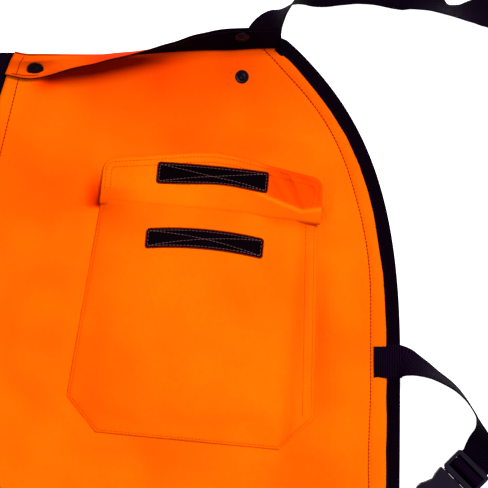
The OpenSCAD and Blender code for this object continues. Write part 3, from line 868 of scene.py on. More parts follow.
def edge_line():
    """The edge of a leg from the waist corner round the hem to the crotch, with its inward directions."""
    d = np.arange(0, HEM_D, 3.0)
    turn = np.linspace(0, math.pi / 2, 12)
    right = outer_x(HEM_D) - HEM_R + HEM_R * np.cos(turn), HEM_D + HEM_R * np.sin(turn)
    left = inner_x(HEM_D) + HEM_R - HEM_R * np.sin(turn), HEM_D + HEM_R * np.cos(turn)
    up = np.arange(HEM_D - 3, CROTCH, -3.0)
    line = np.vstack([[(264, -11.5), (270, -9)], np.column_stack([outer_x(d), d]), np.column_stack(right),
                      np.column_stack(left),
                      np.column_stack([inner_x(up), up]), [(3.0, CROTCH)]])
    line = resample(line, BINDING_STEP)
    along = np.gradient(line, axis=0)
    along /= np.linalg.norm(along, axis=1)[:, None]
    return line, np.column_stack([-along[:, 1], along[:, 0]])


EDGE, EDGE_IN = edge_line()
# Inward distance and height of the binding, over the top, round the edge and back under
BINDING_PROFILE = np.array([(12.6, 7.5), (12.5, 8.25), (11.6, 8.62), (9.5, 8.7), (6, 8.6), (3.2, 8.5),
                            (1.4, 8.1),
                            (0.3, 7.0), (-0.15, 5.4), (-0.25, 3.8), (-0.05, 2.2), (0.6, 0.9), (2.0, 0.35),
                            (5, 0.2),
                            (9, 0.2), (12.2, 0.3)])


def make_binding(side):
    s, z = BINDING_PROFILE[:, 0], BINDING_PROFILE[:, 1]
    over = z > 6                                  # the part that shows from above
    run = np.arange(len(EDGE)) * BINDING_STEP
    wide = 1 + 0.035 * ripple(run, run * 0.2, 21, 60)[:, None] * np.clip(s / 12, 0, 1)
    inward = s * wide + 0.35 * ripple(run, run * 0.1, 22, 90)[:, None] * np.clip(s, 0, 1)
    x = EDGE[:, :1] + EDGE_IN[:, :1] * inward
    d = EDGE[:, 1:] + EDGE_IN[:, 1:] * inward
    stitch_pull = 0.35 * bump(s, 10.2, 1.3) * (1 + np.sin(run / 1.6))[:, None] * over
    height = z + 0.22 * ripple(run, run * 0.3, 23, 34)[:, None] * over - stitch_pull
    lifted = 1.75 * over_strap(x, d) * np.clip((2.4 - z) / 1.6, 0, 1)
    corner_lift = 1.3 * (1 - ease((d + 2) / 11)) * over
    points = stack(x, d, height + lifted + corner_lift)
    steps = np.diff(np.vstack([BINDING_PROFILE[:1], BINDING_PROFILE]), axis=0)
    across = np.cumsum(np.hypot(*steps.T))
    uv = np.column_stack([np.repeat(run, len(s)), np.tile(across, len(run))]) * MM
    binding = mesh_piece(f"{side}_edge_binding", points, grid_faces(len(EDGE), len(s)), BINDING, uv,
                         side == "right")
    thicken(binding, 0.6, offset=-1.0)
    settle(binding, "chaps", "binding_tape", f"{side}_outer_binding", f"{side}_inner_binding")
    rows = Seams()
    line = np.column_stack([EDGE + EDGE_IN * 10.3, np.full(len(EDGE), 8.62)])
    rows.row(line[3:-3], length=2.4, gap=0.8, radius=0.28)
    settle(rows.piece(f"{side}_binding_stitches", DARK_THREAD, side == "right"), "chaps", "binding_tape")


def make_leg_seams(side, folds):
    """The stitching that shows on the orange cloth, a little inside the binding and beside the notch."""
    pocketed = side == "left"
    rows = Seams()

    def sew(x, d, **how):
        rows.row(np.column_stack([x, waist_d(x, d, pocketed), leg_z(x, d, pocketed, folds)]), **how)

    outer, notch, middle, low = (np.arange(0.5, HEM_D - 30, 3.0), np.linspace(4, 135, 60),
                                 np.arange(140, CROTCH - 6, 3.0), np.arange(CROTCH + 10, HEM_D - 30, 3.0))
    sew(seam_x(outer), outer)
    sew(np.interp(notch, [0, 135], [34.5, 1.8]), notch)
    for k in range(3):
        sew(np.array([0.6, 4.2]), np.full(2, 134.5 + k), length=3.0, gap=0.2)
    sew(np.full(len(middle), 6.0), middle)
    sew(inner_x(low) + 24, low)
    hem = np.arange(inner_x(HEM_D) + 48, outer_x(HEM_D) - 48, 3.0)
    sew(hem, np.full(len(hem), LEG - 27.0))
    settle(rows.piece(f"{side}_leg_stitches", THREAD, side == "right"), "chaps", "binding_tape")


# x from the leg edge, height and roll
TAB = [(-24, 8.75, 0), (-20, 8.85, 0), (-15, 9.3, 0), (-10, 10.1, 0), (-4, 10.35, 0), (0, 10.3, 0),
       (1.6, 9.75, 0)]


def make_tabs(side):
    """Folded webbing patches that hold the leg straps, with a sewn box on each."""
    points, faces, uv, rows = np.zeros((0, 3)), [], np.zeros((0, 2)), Seams()
    for level in LEVELS:
        d = strap_d(level)
        edge = float(outer_x(d))
        rings = smooth_path([(edge + x, d, z, roll) for x, z, roll in TAB], 4)
        p, f, t = ribbon_part(rings, 28.5, 1.1, 0.15, seed=31 + LEVELS.index(level), start=len(points))
        points, faces, uv = np.vstack([points, p]), faces + f, np.vstack([uv, t])
        box = ((-21, -11, 9.4), (-3.5, -11, 10.95), (-3.5, 11, 10.95), (-21, 11, 9.4))
        rows.box_and_cross([(edge + x, d + y, z) for x, y, z in box], length=2.2, gap=0.7, radius=0.28)
    tabs = mesh_piece(f"{side}_webbing_tabs", points, faces, STRAP, uv, side == "right")
    settle(tabs, "chaps", "strap_webbing", f"{side}_outer_tabs")
    settle(rows.piece(f"{side}_tab_stitches", DARK_THREAD, side == "right"), "chaps", "strap_webbing")


# ---------- leg straps ----------

# x and d from the leg edge at the tab, height and roll
OUTER_STRAP = [(-12, 0, 9.25, 0), (-4, 0, 9.35, -2), (2.8, 0.6, 10.2, -26), (10.5, 2.2, 12.6, -49),
               (20.5, 5.8, 14.4, -63),
               (32.5, 12.0, 15.6, -75), (47, 21.6, 16, -81), (57, 31.4, 16, -85), (64, 41, 16, -88),
               (70, 52, 16, -92), (73.4, 64, 14.5, -112), (73.4, 75, 10.5, -142), (72.4, 83.5, 6, -168)]
# Along the buckle from the prongs' bar, and height: under the frame, over the middle bar and down again
OUTER_STRAP_WEAVE = [(-12.2, 2.9), (-9.2, 1.65), (-5.9, 1.7), (-4.4, 3.2), (-2.8, 6.4), (-1.2, 9.6),
                     (0.6, 10.6),
                     (2.8, 10.6), (4.8, 9.4), (6.4, 6.4), (7.8, 3.2), (9.6, 1.7), (12.0, 1.3), (14.3, 1.0)]
BACK_STRAP_WRAP = [(55.2, 2.5), (55.6, 6.5), (56.2, 10.6), (58.0, 12.45), (61.2, 12.4), (63.4, 10.2),
                   (64.8, 5.8),
                   (67.2, 2.2), (71.5, 1.1)]


def make_strap(side, level):
    """The webbing from the tab through the prongs, and the one from the socket across the back of the leg."""
    d0 = strap_d(level)
    edge = float(outer_x(d0))
    route = [(edge + x, d0 + d, z, roll) for x, d, z, roll in OUTER_STRAP]
    route += [(*buckle_point(level, a), z, -180) for a, z in OUTER_STRAP_WEAVE]
    mirror = side == "right"
    strap = ribbon(f"{side}_{level}_webbing", route, STRAP_W + 1.9, STRAP_T, STRAP, 5, mirror, 0.35, seed=41)
    settle(strap, None, "strap_webbing", f"{side}_{level}_strap")
    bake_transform(strap)
    wrap = [(*buckle_point(level, a), z, 0) for a, z in BACK_STRAP_WRAP]
    line = back_line(level)
    flat = [(x, d, 0.85, 0) for x, d in line[4:-1]]
    x0, x1 = line[-2][0], line[-1][0]
    flat += [(x0 + (x1 - x0) * k / 10, line[-1][1], 0.85, 0) for k in range(1, 11)]
    back = ribbon(f"{side}_{level}_back_webbing", wrap + flat, STRAP_W, STRAP_T, STRAP, 4, mirror, 0.0,
                  seed=43)
    for vertex in back.data.vertices:                       # the ground is flat below it
        vertex.co.z = max(vertex.co.z, 0.15 * MM)
    settle(back, "chaps", "strap_webbing", f"{side}_{level}_inner_strap")


def finish_node(name, material, bevel=0.0):
    """Gives a CAD node its finish, with softened edges."""
    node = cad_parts[name]
    node.data.materials.clear()
    node.data.materials.append(material)
    if bevel:
        edges = node.modifiers.new("edges", "BEVEL")
        edges.width = bevel * MM
        edges.segments = 3
        edges.limit_method = "ANGLE"
        edges.angle_limit = math.radians(38)
        edges.harden_normals = False


# ---------- waist flaps ----------

def flap_height(x):
    return FLAP_H[0] + (FLAP_H[1] - FLAP_H[0]) * (x - FLAP_X[0]) / (FLAP_X[1] - FLAP_X[0])


FLAP_TWIST = [(25, 0), (46, 0.5), (52, 3), (60, 14), (70, 30), (80, 45), (90, 56), (102, 66), (114, 72),
              (127, 77.5),
              (143, 86), (161, 95.5), (175, 104), (185, 112), (199, 117.5), (212, 120), (262, 120)]
# Share of its height that the left flap keeps where its cloth bows
FLAP_BOW = [(14, 0.82), (23, 0.89), (33, 0.96), (40, 0.96), (46, 0.93), (52, 0.87), (57, 0.84), (70, 0.79),
            (80, 0.83),
            (90, 0.89), (102, 0.98), (112, 1), (262, 1)]


def along_flap(x, pairs):
    """Values at x from (x, value) pairs, with their corners rounded off."""
    pairs = np.array(pairs, float)
    return sum(np.interp(x + step, pairs[:, 0], pairs[:, 1]) for step in (-6, -3, 0, 3, 6)) / 5


def left_flap_angle(x):
    """Angle of the left flap at x: snapped shut at the notch, standing at the side."""
    return np.radians(along_flap(x, FLAP_TWIST))


def flap_edge_d(x):
    """Where the free edge of the left flap lies over its leg."""
    return flap_height(x) * along_flap(x, FLAP_BOW) * np.cos(left_flap_angle(x))


def flap_grid(cols, rows):
    x = np.repeat(np.linspace(*FLAP_X, cols)[None, :], rows, axis=0)
    v = 0.2 + np.linspace(0, 1, rows)[:, None] * (flap_height(x) - 0.2)
    slant = NOTCH_HALF / NOTCH_DEPTH              # the end follows the notch
    return x - slant * v * np.clip((80 - x) / 55, 0, 1), v


def flap_points(x, v, angle, out, left):
    """(x, d, z) of a flap at v from the hinge and out from its middle plane towards its orange side."""
    lying = v * along_flap(x, FLAP_BOW) if left else v
    d = lying * np.cos(angle) - out * np.sin(angle)
    z = FLAP_AXIS_Z + v * np.sin(angle) + out * np.cos(angle)
    if left:
        d = d + waist_sag(x) * (1 - ease(v / 15))
        z = z + waist_rise(x) * (1 - ease((v - 8) / 13))
    return stack(x, d, z)


def flap_swell(x, v, amount=1.0):
    """Soft waves of a flap's cloth, none at its hinge and studs."""
    quiet = 1.0
    for sx, sd in STUDS:
        quiet = quiet * (1 - bump(np.hypot(x - sx, v - sd), 0, 14))
    return amount * quiet * (v / 36) * (1.1 * ripple(x, v, 51, 60) + 0.35 * ripple(x, v, 52, 23))


def flap_stitches(rows, x, v, out, face, left, step, **how):
    """Stitches along a flap that stand out from its orange side (face 1) or its black one (face -1)."""
    angle = left_flap_angle(x) if left else np.zeros_like(x)
    line = resample(flap_points(x, v, angle, out + flap_swell(x, v, 1.0 if left else 0.5), left), step)
    for a, b in zip(line[:-1], line[1:]):
        lean = float(left_flap_angle((a[0] + b[0]) / 2)) if left else 0.0
        rows.row([a, a + (b - a) * 0.999], up=(0, -face * math.sin(lean), face * math.cos(lean)), **how)


def make_flap(side):
    """A waist flap: orange cloth outside, black facing inside, stitched round its edge."""
    mirror = side == "right"
    x, v = flap_grid(96, 14)
    if mirror:
        angle, swell = np.zeros_like(x), flap_swell(x, v, 0.5)
    else:
        angle, swell = left_flap_angle(x), flap_swell(x, v)
    tall = flap_height(x)
    rim = np.minimum(np.minimum(tall - v, FLAP_X[1] - x), 6)
    puff = 0.25 * ease(rim / 4)
    nodes = ["right_flap"] if mirror else ["left_flap_snapped", "left_flap_loose"]
    outer = flap_points(x, v * (tall - 0.9) / tall, angle, 0.62 + puff + swell, not mirror)
    inner = flap_points(x, v, angle, -0.55 + 0.45 * (1 - ease(rim / 1.5)) + swell, not mirror)
    # Both flaps sit a little lower on the tone scale than the legs; the left one is painted darker still
    # where it twists up off the leg: painted shade
    tone = 0.42 - 0.3 * ease((x - 60) / 60) * (not mirror)
    cloth_piece = thicken(mesh_piece(f"{side}_waist_flap_cloth", outer, grid_faces(*x.shape), ORANGE,
                                     mirror=mirror,
                                     tone=tone), FLAP_PLY_T)
    facing = thicken(mesh_piece(f"{side}_waist_flap_facing", inner, grid_faces(*x.shape, flip=True), FACING,
                                mirror=mirror), FLAP_PLY_T)

    rows, inside_rows = Seams(), Seams()
    end_v = np.linspace(1.5, flap_height(34.0) - 3.0, 12)
    edge = np.linspace(FLAP_X[0] - 2, (FLAP_X[1] if mirror else 50) - 4, 120)
    for seam, v in ((34.5 - 0.34 * end_v, end_v), (edge, flap_height(edge) - 3.2)):
        flap_stitches(rows, seam, v, 0.98, 1, not mirror, 3.2, length=2.8, gap=0.3, radius=0.32)
    edge = np.linspace(FLAP_X[0] + 3, FLAP_X[1] - 3, 120)
    flap_stitches(inside_rows, edge, flap_height(edge) - 3.2, -1.15, -1, not mirror, 3.4,
                  length=2.6, gap=0.7, radius=0.3)
    stitches = rows.piece(f"{side}_waist_flap_stitches", THREAD, mirror)
    inside = inside_rows.piece(f"{side}_waist_flap_inside_stitches", DARK_THREAD, mirror)
    made = ((cloth_piece, "orange_cloth", nodes), (facing, "flap_facing", [f"{n}_facing" for n in nodes]),
            (stitches, "binding_tape", []), (inside, "binding_tape", []))
    for piece, slot, stands_for in made:
        if mirror:
            settle(piece, "right_waist_flap", slot, *stands_for)
        else:
            settle(piece, None, slot, *stands_for)
            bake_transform(piece)


# ---------- press studs ----------

STUD_SIDES = 40


def lathe(profile):
    """Points and faces of a turned shape from (r, z) pairs, closed where r is 0."""
    sides = STUD_SIDES
    turn = np.linspace(0, 2 * math.pi, sides, endpoint=False)
    points, faces = [], []
    for r, z in profile:
        points += [(r * math.cos(a), r * math.sin(a), z) for a in turn]
    for i in range(len(profile) - 1):
        for k in range(sides):
            a, b = i * sides + k, i * sides + (k + 1) % sides
            faces.append((a, b, b + sides, a + sides))
    faces.append(tuple(range(sides - 1, -1, -1)))
    last = (len(profile) - 1) * sides
    faces.append(tuple(range(last, last + sides)))
    return np.array(points), faces


# Radius and height
CAP = [(0.1, -0.6), (7.2, -0.6), (7.55, -0.3), (7.55, 0.15), (7.25, 0.55), (6.7, 0.72), (6.3, 0.62),
       (5.9, 0.66),
       (4.4, 1.0), (2.4, 1.22), (0.1, 1.28)]
KNOB = [(0.1, -0.05), (5.9, -0.05), (6.2, 0.15), (6.2, 0.5), (5.9, 0.72), (5.2, 0.78), (4.7, 0.5),
        (3.6, 0.42),
        (2.7, 0.5), (2.05, 0.75), (1.85, 1.15), (2.15, 1.6), (2.1, 1.95), (1.6, 2.25), (0.9, 2.2), (0.7, 1.9),
        (0.1, 1.85)]
RING = [(2.5, 1.5), (2.5, 0.2), (2.8, 0.0), (3.5, -0.05), (4.1, 0.35), (4.9, 0.38), (5.5, 0.0), (6.0, 0.05),
        (6.25, 0.4), (6.25, 1.4), (6.0, 1.7)]


def make_stud(name, profile, places, body, *nodes):
    """Turned stud parts. A place is x, v from the hinge or d, height, the flap's angle and the stud's own
    tilt."""
    points, faces = np.zeros((0, 3)), []
    base, rings = lathe(profile)
    for x, v, out, angle, tilt, mirror in places:
        side = -1 if mirror else 1
        px = x + base[:, 0]
        local_v = v + base[:, 1] * math.cos(tilt) - base[:, 2] * math.sin(tilt)
        local_out = out + base[:, 1] * math.sin(tilt) + base[:, 2] * math.cos(tilt)
        d = local_v * math.cos(angle) - local_out * math.sin(angle)
        z = FLAP_AXIS_Z + local_v * math.sin(angle) + local_out * math.cos(angle)
        start = len(points)
        points = np.vstack([points, np.column_stack([side * px, d, z])])
        faces += [tuple(start + k for k in (f if mirror else reversed(f))) for f in rings]
    made = mesh_piece(name, points, faces, METAL)
    settle(made, body, "stud_metal", *nodes)


def make_studs():
    stand = math.radians(FLAP_STAND)
    (nx, nd), (sx, sd) = STUDS
    cap_out, ring_out, knob_out = 1.5, -2.5, SHELL_Z + 0.15 - FLAP_AXIS_Z
    lean = math.radians(-41)                      # the snapped cap lies on the fold beside it
    make_stud("left_snapped_stud_cap", CAP, [(nx + 0.8, nd + 1.6, cap_out + 1.7, 0, lean, False)], "chaps",
              "snapped_cap")
    make_stud("left_snapped_stud_ring", RING, [(nx, nd - 1, ring_out + 1.2, 0, lean / 2, False)], "chaps",
              "snapped_socket")
    make_stud("left_loose_stud_cap", CAP, [(sx, sd, cap_out, stand, 0, False)], "left_waist_flap",
              "loose_cap")
    make_stud("left_loose_stud_ring", RING, [(sx, sd, ring_out, stand, 0, False)], "left_waist_flap",
              "loose_socket")
    make_stud("right_stud_caps", CAP, [(x, d, cap_out, 0, 0, True) for x, d in STUDS], "right_waist_flap",
              "right_flap_caps")
    make_stud("right_stud_rings", RING, [(x, d, ring_out, 0, 0, True) for x, d in STUDS], "right_waist_flap",
              "right_flap_sockets")
    knobs = [(x, d, knob_out, 0, 0, mirror) for x, d in STUDS for mirror in (False, True)]
    make_stud("panel_stud_knobs", KNOB, knobs, "chaps", "panel_studs")
    finish_node("panel_stud_rivets", METAL)


def make_notch_insert():
    """The black cloth that closes the notch between the legs."""
    rows, cols = 26, 18
    d = np.repeat(np.linspace(2, NOTCH_DEPTH + 9, rows)[:, None], cols, axis=1)
    half = np.interp(d, [0, NOTCH_DEPTH + 9], [32, 8])
    x = np.linspace(-1, 1, cols)[None, :] * half
    z = 6.15 + 0.22 * ripple(x, d, 61, 24)
    insert = thicken(mesh_piece("notch_insert", stack(x, d, np.minimum(z, 6.4)), grid_faces(rows, cols),
                                LINING), 0.5)
    settle(insert, "chaps", "black_lining", "front_gusset")


# ---------- pocket ----------

def pocket_z(u, v, folds=None):
    """Height of the pocket front."""
    inside = np.maximum(inside_pocket(u, v), 0)
    z = 8.35 + 1.25 * ease(inside / 1.3) + 3.7 * (1 - np.exp(-inside / 15))
    z = z - 0.5 * bump(inside, 2.6, 0.9)
    soft = 1 - np.exp(-inside / 18)
    if folds is not None:
        z = z + folds(u, v) * ease((inside - 6) / 24)
    z = z + soft * (0.55 * ripple(u, v, 71, 95) + 0.25 * ripple(u, v, 72, 38))
    z = z + 1.1 * soft * bump(u - 0.35 * v, 78, 13) * ease((v + 60) / 50)
    z = z - 0.9 * soft * bump(u - 0.5 * v, 108, 10) * ease((v + 45) / 40)
    mouth = 1 - ease((-1.6 - v) / 13)
    open_end = ease((u - 134) / 16)
    return z + mouth * ((15.0 - z) * (1 - open_end) * ease((u + 1.5) / 9) + 1.0 * open_end * soft)


def pocket_rows():
    """v of the pocket front's rows, closer at its mouth and foot."""
    return -np.concatenate([[1.6, 2.4, 3.6, 5, 6.8], np.arange(9, 176, 4.0), np.arange(178, 207, 2.2),
                            [207, 208.6, 209.8, 211]])


def pocket_grid():
    v = pocket_rows()[:, None]
    near = np.array([0, 0.7, 1.4, 2.2, 3.0, 4.0, 5.5, 7.5, 10])
    left, right = pocket_side(v)
    middle = np.linspace(0, 1, 42)[1:-1]
    u = np.hstack([left + near, left + 10 + (right - left - 20) * middle, right - near[::-1]])
    return u, v - 2.2 * ease((u - 130) / 20) * np.exp((v + 1.6) / 3)


def pocket_folds():
    """Simulated slack of the pocket front, sewn on three sides."""
    rows, columns, low = 52, 50, FOOT - 2
    v = np.repeat(np.linspace(-MOUTH, -low, rows)[:, None], columns, axis=1)
    left, right = pocket_side(v)
    u = left + 0.5 + (right - left - 1) * np.linspace(0, 1, columns)[None, :]
    z = pocket_z(u, v)
    inside = inside_pocket(u, v)
    settled = cloth_run(np.column_stack([u.ravel(), v.ravel(), z.ravel()]), grid_faces(rows, columns),
                        (inside < 5).ravel(), frames=22, growth=0.012, stiffness=0.5)
    rise = soften(np.clip(settled[:, 2].reshape(u.shape) - z, -1.2, 2.4), 2)

    def at(uu, vv):
        uu, vv = np.broadcast_arrays(np.asarray(uu, float), np.asarray(vv, float))
        lo, hi = pocket_side(np.clip(vv, -low, -MOUTH))
        c = np.clip((uu - lo) / (hi - lo), 0, 1) * (columns - 1.001)
        r = np.clip((-MOUTH - vv) / (low - MOUTH), 0, 1) * (rows - 1.001)
        i, j = r.astype(int), c.astype(int)
        return between(rise, i, j, r - i, c - j)
    return at


def flap_top(u):
    """Free edge of the pocket flap."""
    turn = np.radians(np.linspace(180, 100, 9))
    left = np.column_stack([10 + 12 * np.cos(turn), 25 + 12 * np.sin(turn)])
    right = np.column_stack([185 - 12 * np.cos(turn), 25 + 12 * np.sin(turn)])[::-1]
    crest = [(50, 43.2), (80, 48.2), (98, 49.6), (116, 48.4), (145, 43.4)]
    line = np.vstack([left, crest, right])
    return np.interp(u, line[:, 0], line[:, 1])


def flap_low(u):
    """Lower edge of the pocket flap, tucked behind the mouth."""
    return -5.2 - 0.6 * ease((u - 136) / 18)


def ridge_v(u):
    """The ridge between the flap's outer cloth and the part that has turned over."""
    return np.interp(u, [120, 146, 165, 180, 197], [24, 15.5, 9.6, 5.4, 9.4])


def turned_over(u):
    """1 at the right end of the flap, where it has turned over."""
    return ease((u - 136) / 16)


def flap_z(u, v):
    """Height of the open pocket flap, which runs on from the pocket front at its mouth."""
    z = 14.9 - 3.3 * ease((v - 1) / 26)
    edge = np.minimum(np.minimum(u + 2, FLAP_RIGHT - u), flap_top(u) - v)
    z = z - 1.3 * np.exp(-np.maximum(edge, 0) / 3.5) * ease((v + 2) / 12)
    z = z + ease(edge / 14) * (0.5 * ripple(u, v, 81, 60) + 0.2 * ripple(u, v, 82, 24))
    z = z + 1.5 * bump(u - 0.55 * v, 90.5, 4.5) * ease((22 - v) / 12) * ease((v + 7) / 5)
    z = z - 1.3 * bump(u - 0.55 * v, 99, 6) * ease((22 - v) / 12) * ease((v + 7) / 5)
    z = z - 1.3 * bump(v, 4.5, 4.0) * ease((56 - u) / 46)
    right = turned_over(u)
    past = v - ridge_v(u)
    z = z + right * (1.9 * np.exp(-np.maximum(-past, 0) / 7) * ease((1.6 - past) / 2.2)
                     - 1.9 * ease((past - 0.2) / 2.0))
    hollow = right * ease(past / 4) * ease((flap_top(u) - v) / 5)
    crinkle = bump(u + 0.7 * v, 176, 2.6) + 0.9 * bump(u + 0.55 * v, 187, 2.4) \
        + 0.8 * bump(u + 0.9 * v, 199, 3.0) - 0.8 * bump(u + 0.7 * v, 182, 3.0) \
        - 0.7 * bump(u + 0.9 * v, 208, 4.0)
    z = z + 1.5 * hollow * crinkle
    tucked = ease((-1.0 - 2.2 * right - v) / 2.4)
    return z + (13.0 - z) * tucked


def pocket_stitches(rows, line, height):
    """Fine stitches along a line in the pocket's frame."""
    u, v = resample(line, 2.0).T
    x, d = pocket_xd(u, v)
    rows.row(np.column_stack([x, d, height(u, v)]), length=2.4, gap=0.8, radius=0.27)


def make_pocket(folds, leg_folds_at):
    u, v = pocket_grid()
    x, d = pocket_xd(u, v)
    z = pocket_z(u, v, folds)
    sewn = inside_pocket(u, v) <= 0.05
    z = np.where(sewn & (v < -6), leg_z(x, d, True, leg_folds_at) + 0.5, z)
    x, d = pocket_xd(np.where(v < -BEND, np.clip(u, *pocket_side(v)), u), v)
    # Painted shade: darker at the pocket's left side and below its mouth, faintly near its foot, in the
    # crease at the right end of the mouth and along the fold of the hem near its right edge
    tone = 0.66 - 0.12 * (1 - ease((u - 5) / 60)) - 0.12 * bump(v, 0, 30) * (1 - ease((u - 110) / 40))
    tone = tone - 0.03 * bump(v, -185, 35) - 0.22 * bump(v, -2, 7) * ease((u - 140) / 20)
    tone = tone - 0.12 * bump(u, 186, 7)
    bag = thicken(mesh_piece("pocket_bag", stack(x, d, z), grid_faces(*x.shape), ORANGE, tone=tone), SHELL_T)
    settle(bag, "chaps", "orange_cloth", "pocket_front", "pocket_gusset")

    rows = Seams()
    down = np.arange(-8.0, 1 - BEND, -3.0)
    left, right = pocket_side(down)
    for inset, whole in ((2.6, True), (10.4, False)):
        line = np.column_stack([right - inset, down])[::-1]
        if whole:
            cut = inset * 0.45
            corners = [(POCKET_LEFT[1] + inset, cut - BEND), (POCKET_LEFT[2] + cut, inset - FOOT),
                       (POCKET_RIGHT[2] - cut, inset - FOOT), (POCKET_RIGHT[1] - inset, cut - BEND)]
            line = np.vstack([np.column_stack([left + inset, down]), corners, line])
        pocket_stitches(rows, line, lambda u, v: pocket_z(u, v, folds))
    settle(rows.piece("pocket_stitches", TONE_THREAD), "chaps", "orange_cloth")


def make_pocket_flap():
    share = np.linspace(0, 1, 24)[:, None]
    cols = np.concatenate([[-2, -1.4, -0.4, 1, 3, 5.5, 8], np.linspace(11, 184, 88),
                           [187, 189.5, 192, 194, 195.5, 196.4, FLAP_RIGHT]])
    u = np.repeat(cols[None, :], len(share), axis=0)
    v = flap_low(u) + (flap_top(u) - flap_low(u)) * share
    x, d = pocket_xd(u, v)
    past = v - ridge_v(u)
    # The turned-over right end is darker, partly the cloth's other side and partly painted shade; a painted
    # highlight runs along the ridge before it, painted shade sits at the left end of the hinge, and the
    # middle is a touch lighter
    tone = 0.55 - 0.19 * (turned_over(u) * ease(past / 2)) + 0.25 * bump(past, -1, 1.5) * ease((u - 130) / 12)
    tone = tone - 0.2 * bump(v, 1, 9) * bump(u, 8, 22) + 0.07 * bump(u, 70, 60)
    flap = thicken(mesh_piece("pocket_flap_cloth", stack(x, d, flap_z(u, v)), grid_faces(*x.shape, flip=True),
                              ORANGE, tone=tone), 0.9)
    settle(flap, "pocket_flap", "orange_cloth", "pocket_flap")

    rows = Seams()
    for inset in (3.0, 8.0):
        u = np.linspace(-2 + inset, FLAP_RIGHT - inset, 140)
        v = flap_top(u) - inset - 0.5
        pocket_stitches(rows, np.vstack([np.column_stack([np.full(6, u[0]), np.linspace(8, v[0], 6)]),
                                         np.column_stack([u, v]),
                                         np.column_stack([np.full(6, u[-1]), np.linspace(v[-1], 12, 6)])]),
                        flap_z)
    settle(rows.piece("pocket_flap_stitches", TONE_THREAD), "pocket_flap", "orange_cloth")


def make_tape(name, material, slot, node, body, centre, height_at, half, inner, ends, waist=0.0):
    """A strip of hook or loop tape sewn down with a box and a cross."""
    (u0, u1), r = ends, 3.0                       # r is the radius of its corners

    def bowed(uu, rel):
        """The drawn-in lower side of a tape on rippled cloth."""
        return rel + waist * bump(uu, 106, 30) * np.clip(-rel / half, 0, 1)

    near_end = np.array([0, 0.4, 1.2, 2.2, 3.4])
    cols = np.concatenate([near_end, np.linspace(5, u1 - u0 - 5, 46), u1 - u0 - near_end[::-1]]) + u0
    near = np.minimum(np.minimum(cols - u0, u1 - cols), r)
    tall = half - (r - np.sqrt(np.maximum(r * r - (r - near) ** 2, 0)))
    share = np.array([-1, -0.97, -0.9, -0.75, -0.5, -0.2, 0.2, 0.5, 0.75, 0.9, 0.97, 1])[:, None]
    u = np.repeat(cols[None, :], len(share), axis=0)
    v = centre(u) + bowed(u, share * tall[None, :])
    rim = np.minimum((1 - np.abs(share)) * half, np.minimum(u - u0, u1 - u))
    z = height_at(u, v) + 0.55 + 0.6 * ease(rim / 0.7)
    x, d = pocket_xd(u, v)
    uv = np.column_stack([u.ravel(), v.ravel()]) * MM
    tape = thicken(mesh_piece(name, stack(x, d, z), grid_faces(*x.shape, flip=True), material, uv), 0.6)
    settle(tape, body, slot, node)

    def lay(points):
        p = resample(points, 2.0)
        pv = bowed(p[:, 0], p[:, 1]) + centre(p[:, 0])
        px, pd = pocket_xd(p[:, 0], pv)
        return np.column_stack([px, pd, height_at(p[:, 0], pv) + 1.15])

    a, b, h = u0 + inner, u1 - inner, half - inner
    rows = Seams()
    box = [(a, -h), (b, -h), (b, h), (a, h)]
    for start, end in [*zip(box, box[1:] + box[:1]), (box[0], box[2]), (box[3], box[1])]:
        rows.row(lay([start, end]), length=2.3, gap=0.9, radius=0.22)
    settle(rows.piece(f"{name}_stitches", PALE_THREAD), body, "loop_tape")
    rows = Seams()
    o = 0.55                                      # inset of the thread that hems the tape
    line = lay([(u0 + o, -half + 2), (u0 + 2, -half + o), (u1 - 2, -half + o), (u1 - o, -half + 2),
                (u1 - o, half - 2), (u1 - 2, half - o), (u0 + 2, half - o), (u0 + o, half - 2),
                (u0 + o, -half + 2)])
    line[:, 2] -= 0.35
    rows.row(line, length=2.2, gap=0.15, radius=0.3)
    settle(rows.piece(f"{name}_edge", THREAD), body, "binding_tape")


# ---------- belt ----------

# x, d, height and roll
BELT_ROUTE = [(242, 12, 4.4, 0), (251, -9, 6.5, -14), (260, -24.5, 17, -58), (268, -33.5, 20, -79),
              (276, -41.5, 20.8, -90), (290, -50, 19.5, -118), (308, -57, 13, -150), (330, -61.5, 5.5, -172),
              (355, -60, 3, -181), (380, -52.5, 9, -198), (398, -43, 17, -232), (412, -36, 20.3, -252),
              (427, -33, 18.8, -246), (440, -33, 16, -230), (453, -33, 13, -214), (470, -27, 15, -226),
              (486, -14, 20, -252), (498, 4, 20.5, -272), (505, 26, 19, -300), (508, 50, 12, -330),
              (507, 72, 5.5, -352)]
# d and height of the webbing through its buckle half
BELT_INTO_PRONGS = [(86, 2.6), (94, 1.6), (99.2, 1.9), (100.8, 4.2), (101.9, 8.2), (104, 10.5),
                    (107.4, 10.6), (109.6, 8.4),
                    (110.8, 4.4)]
BELT_INTO_SOCKET = [(84, 7.5), (91, 11.6), (95.5, 12.5), (99.2, 12.45), (101.2, 10.0), (102.2, 6.0),
                    (102.8, 2.8)]


def make_belt(side):
    mirror = side == "right"
    weave = BELT_INTO_SOCKET if mirror else BELT_INTO_PRONGS
    route = BELT_ROUTE + [(506, d, z, -360) for d, z in weave]
    belt = ribbon(f"{side}_belt_webbing", route, BELT_W, BELT_T, BELT, 5, mirror, 0.3, seed=91)
    settle(belt, "chaps", "belt_webbing", f"{side}_waist_belt")


# ---------- camera, light and floor ----------

VIEW_CENTRE = (231.3, 174.6)      # x, d of the middle of the view
VIEW_WIDTH = 439.2
CAMERA_HEIGHT = 3000.0
CLOTH_HEIGHT = 10.0
FLOOR_HALF, FLOOR_Z = 16.0, -0.0004              # in metres


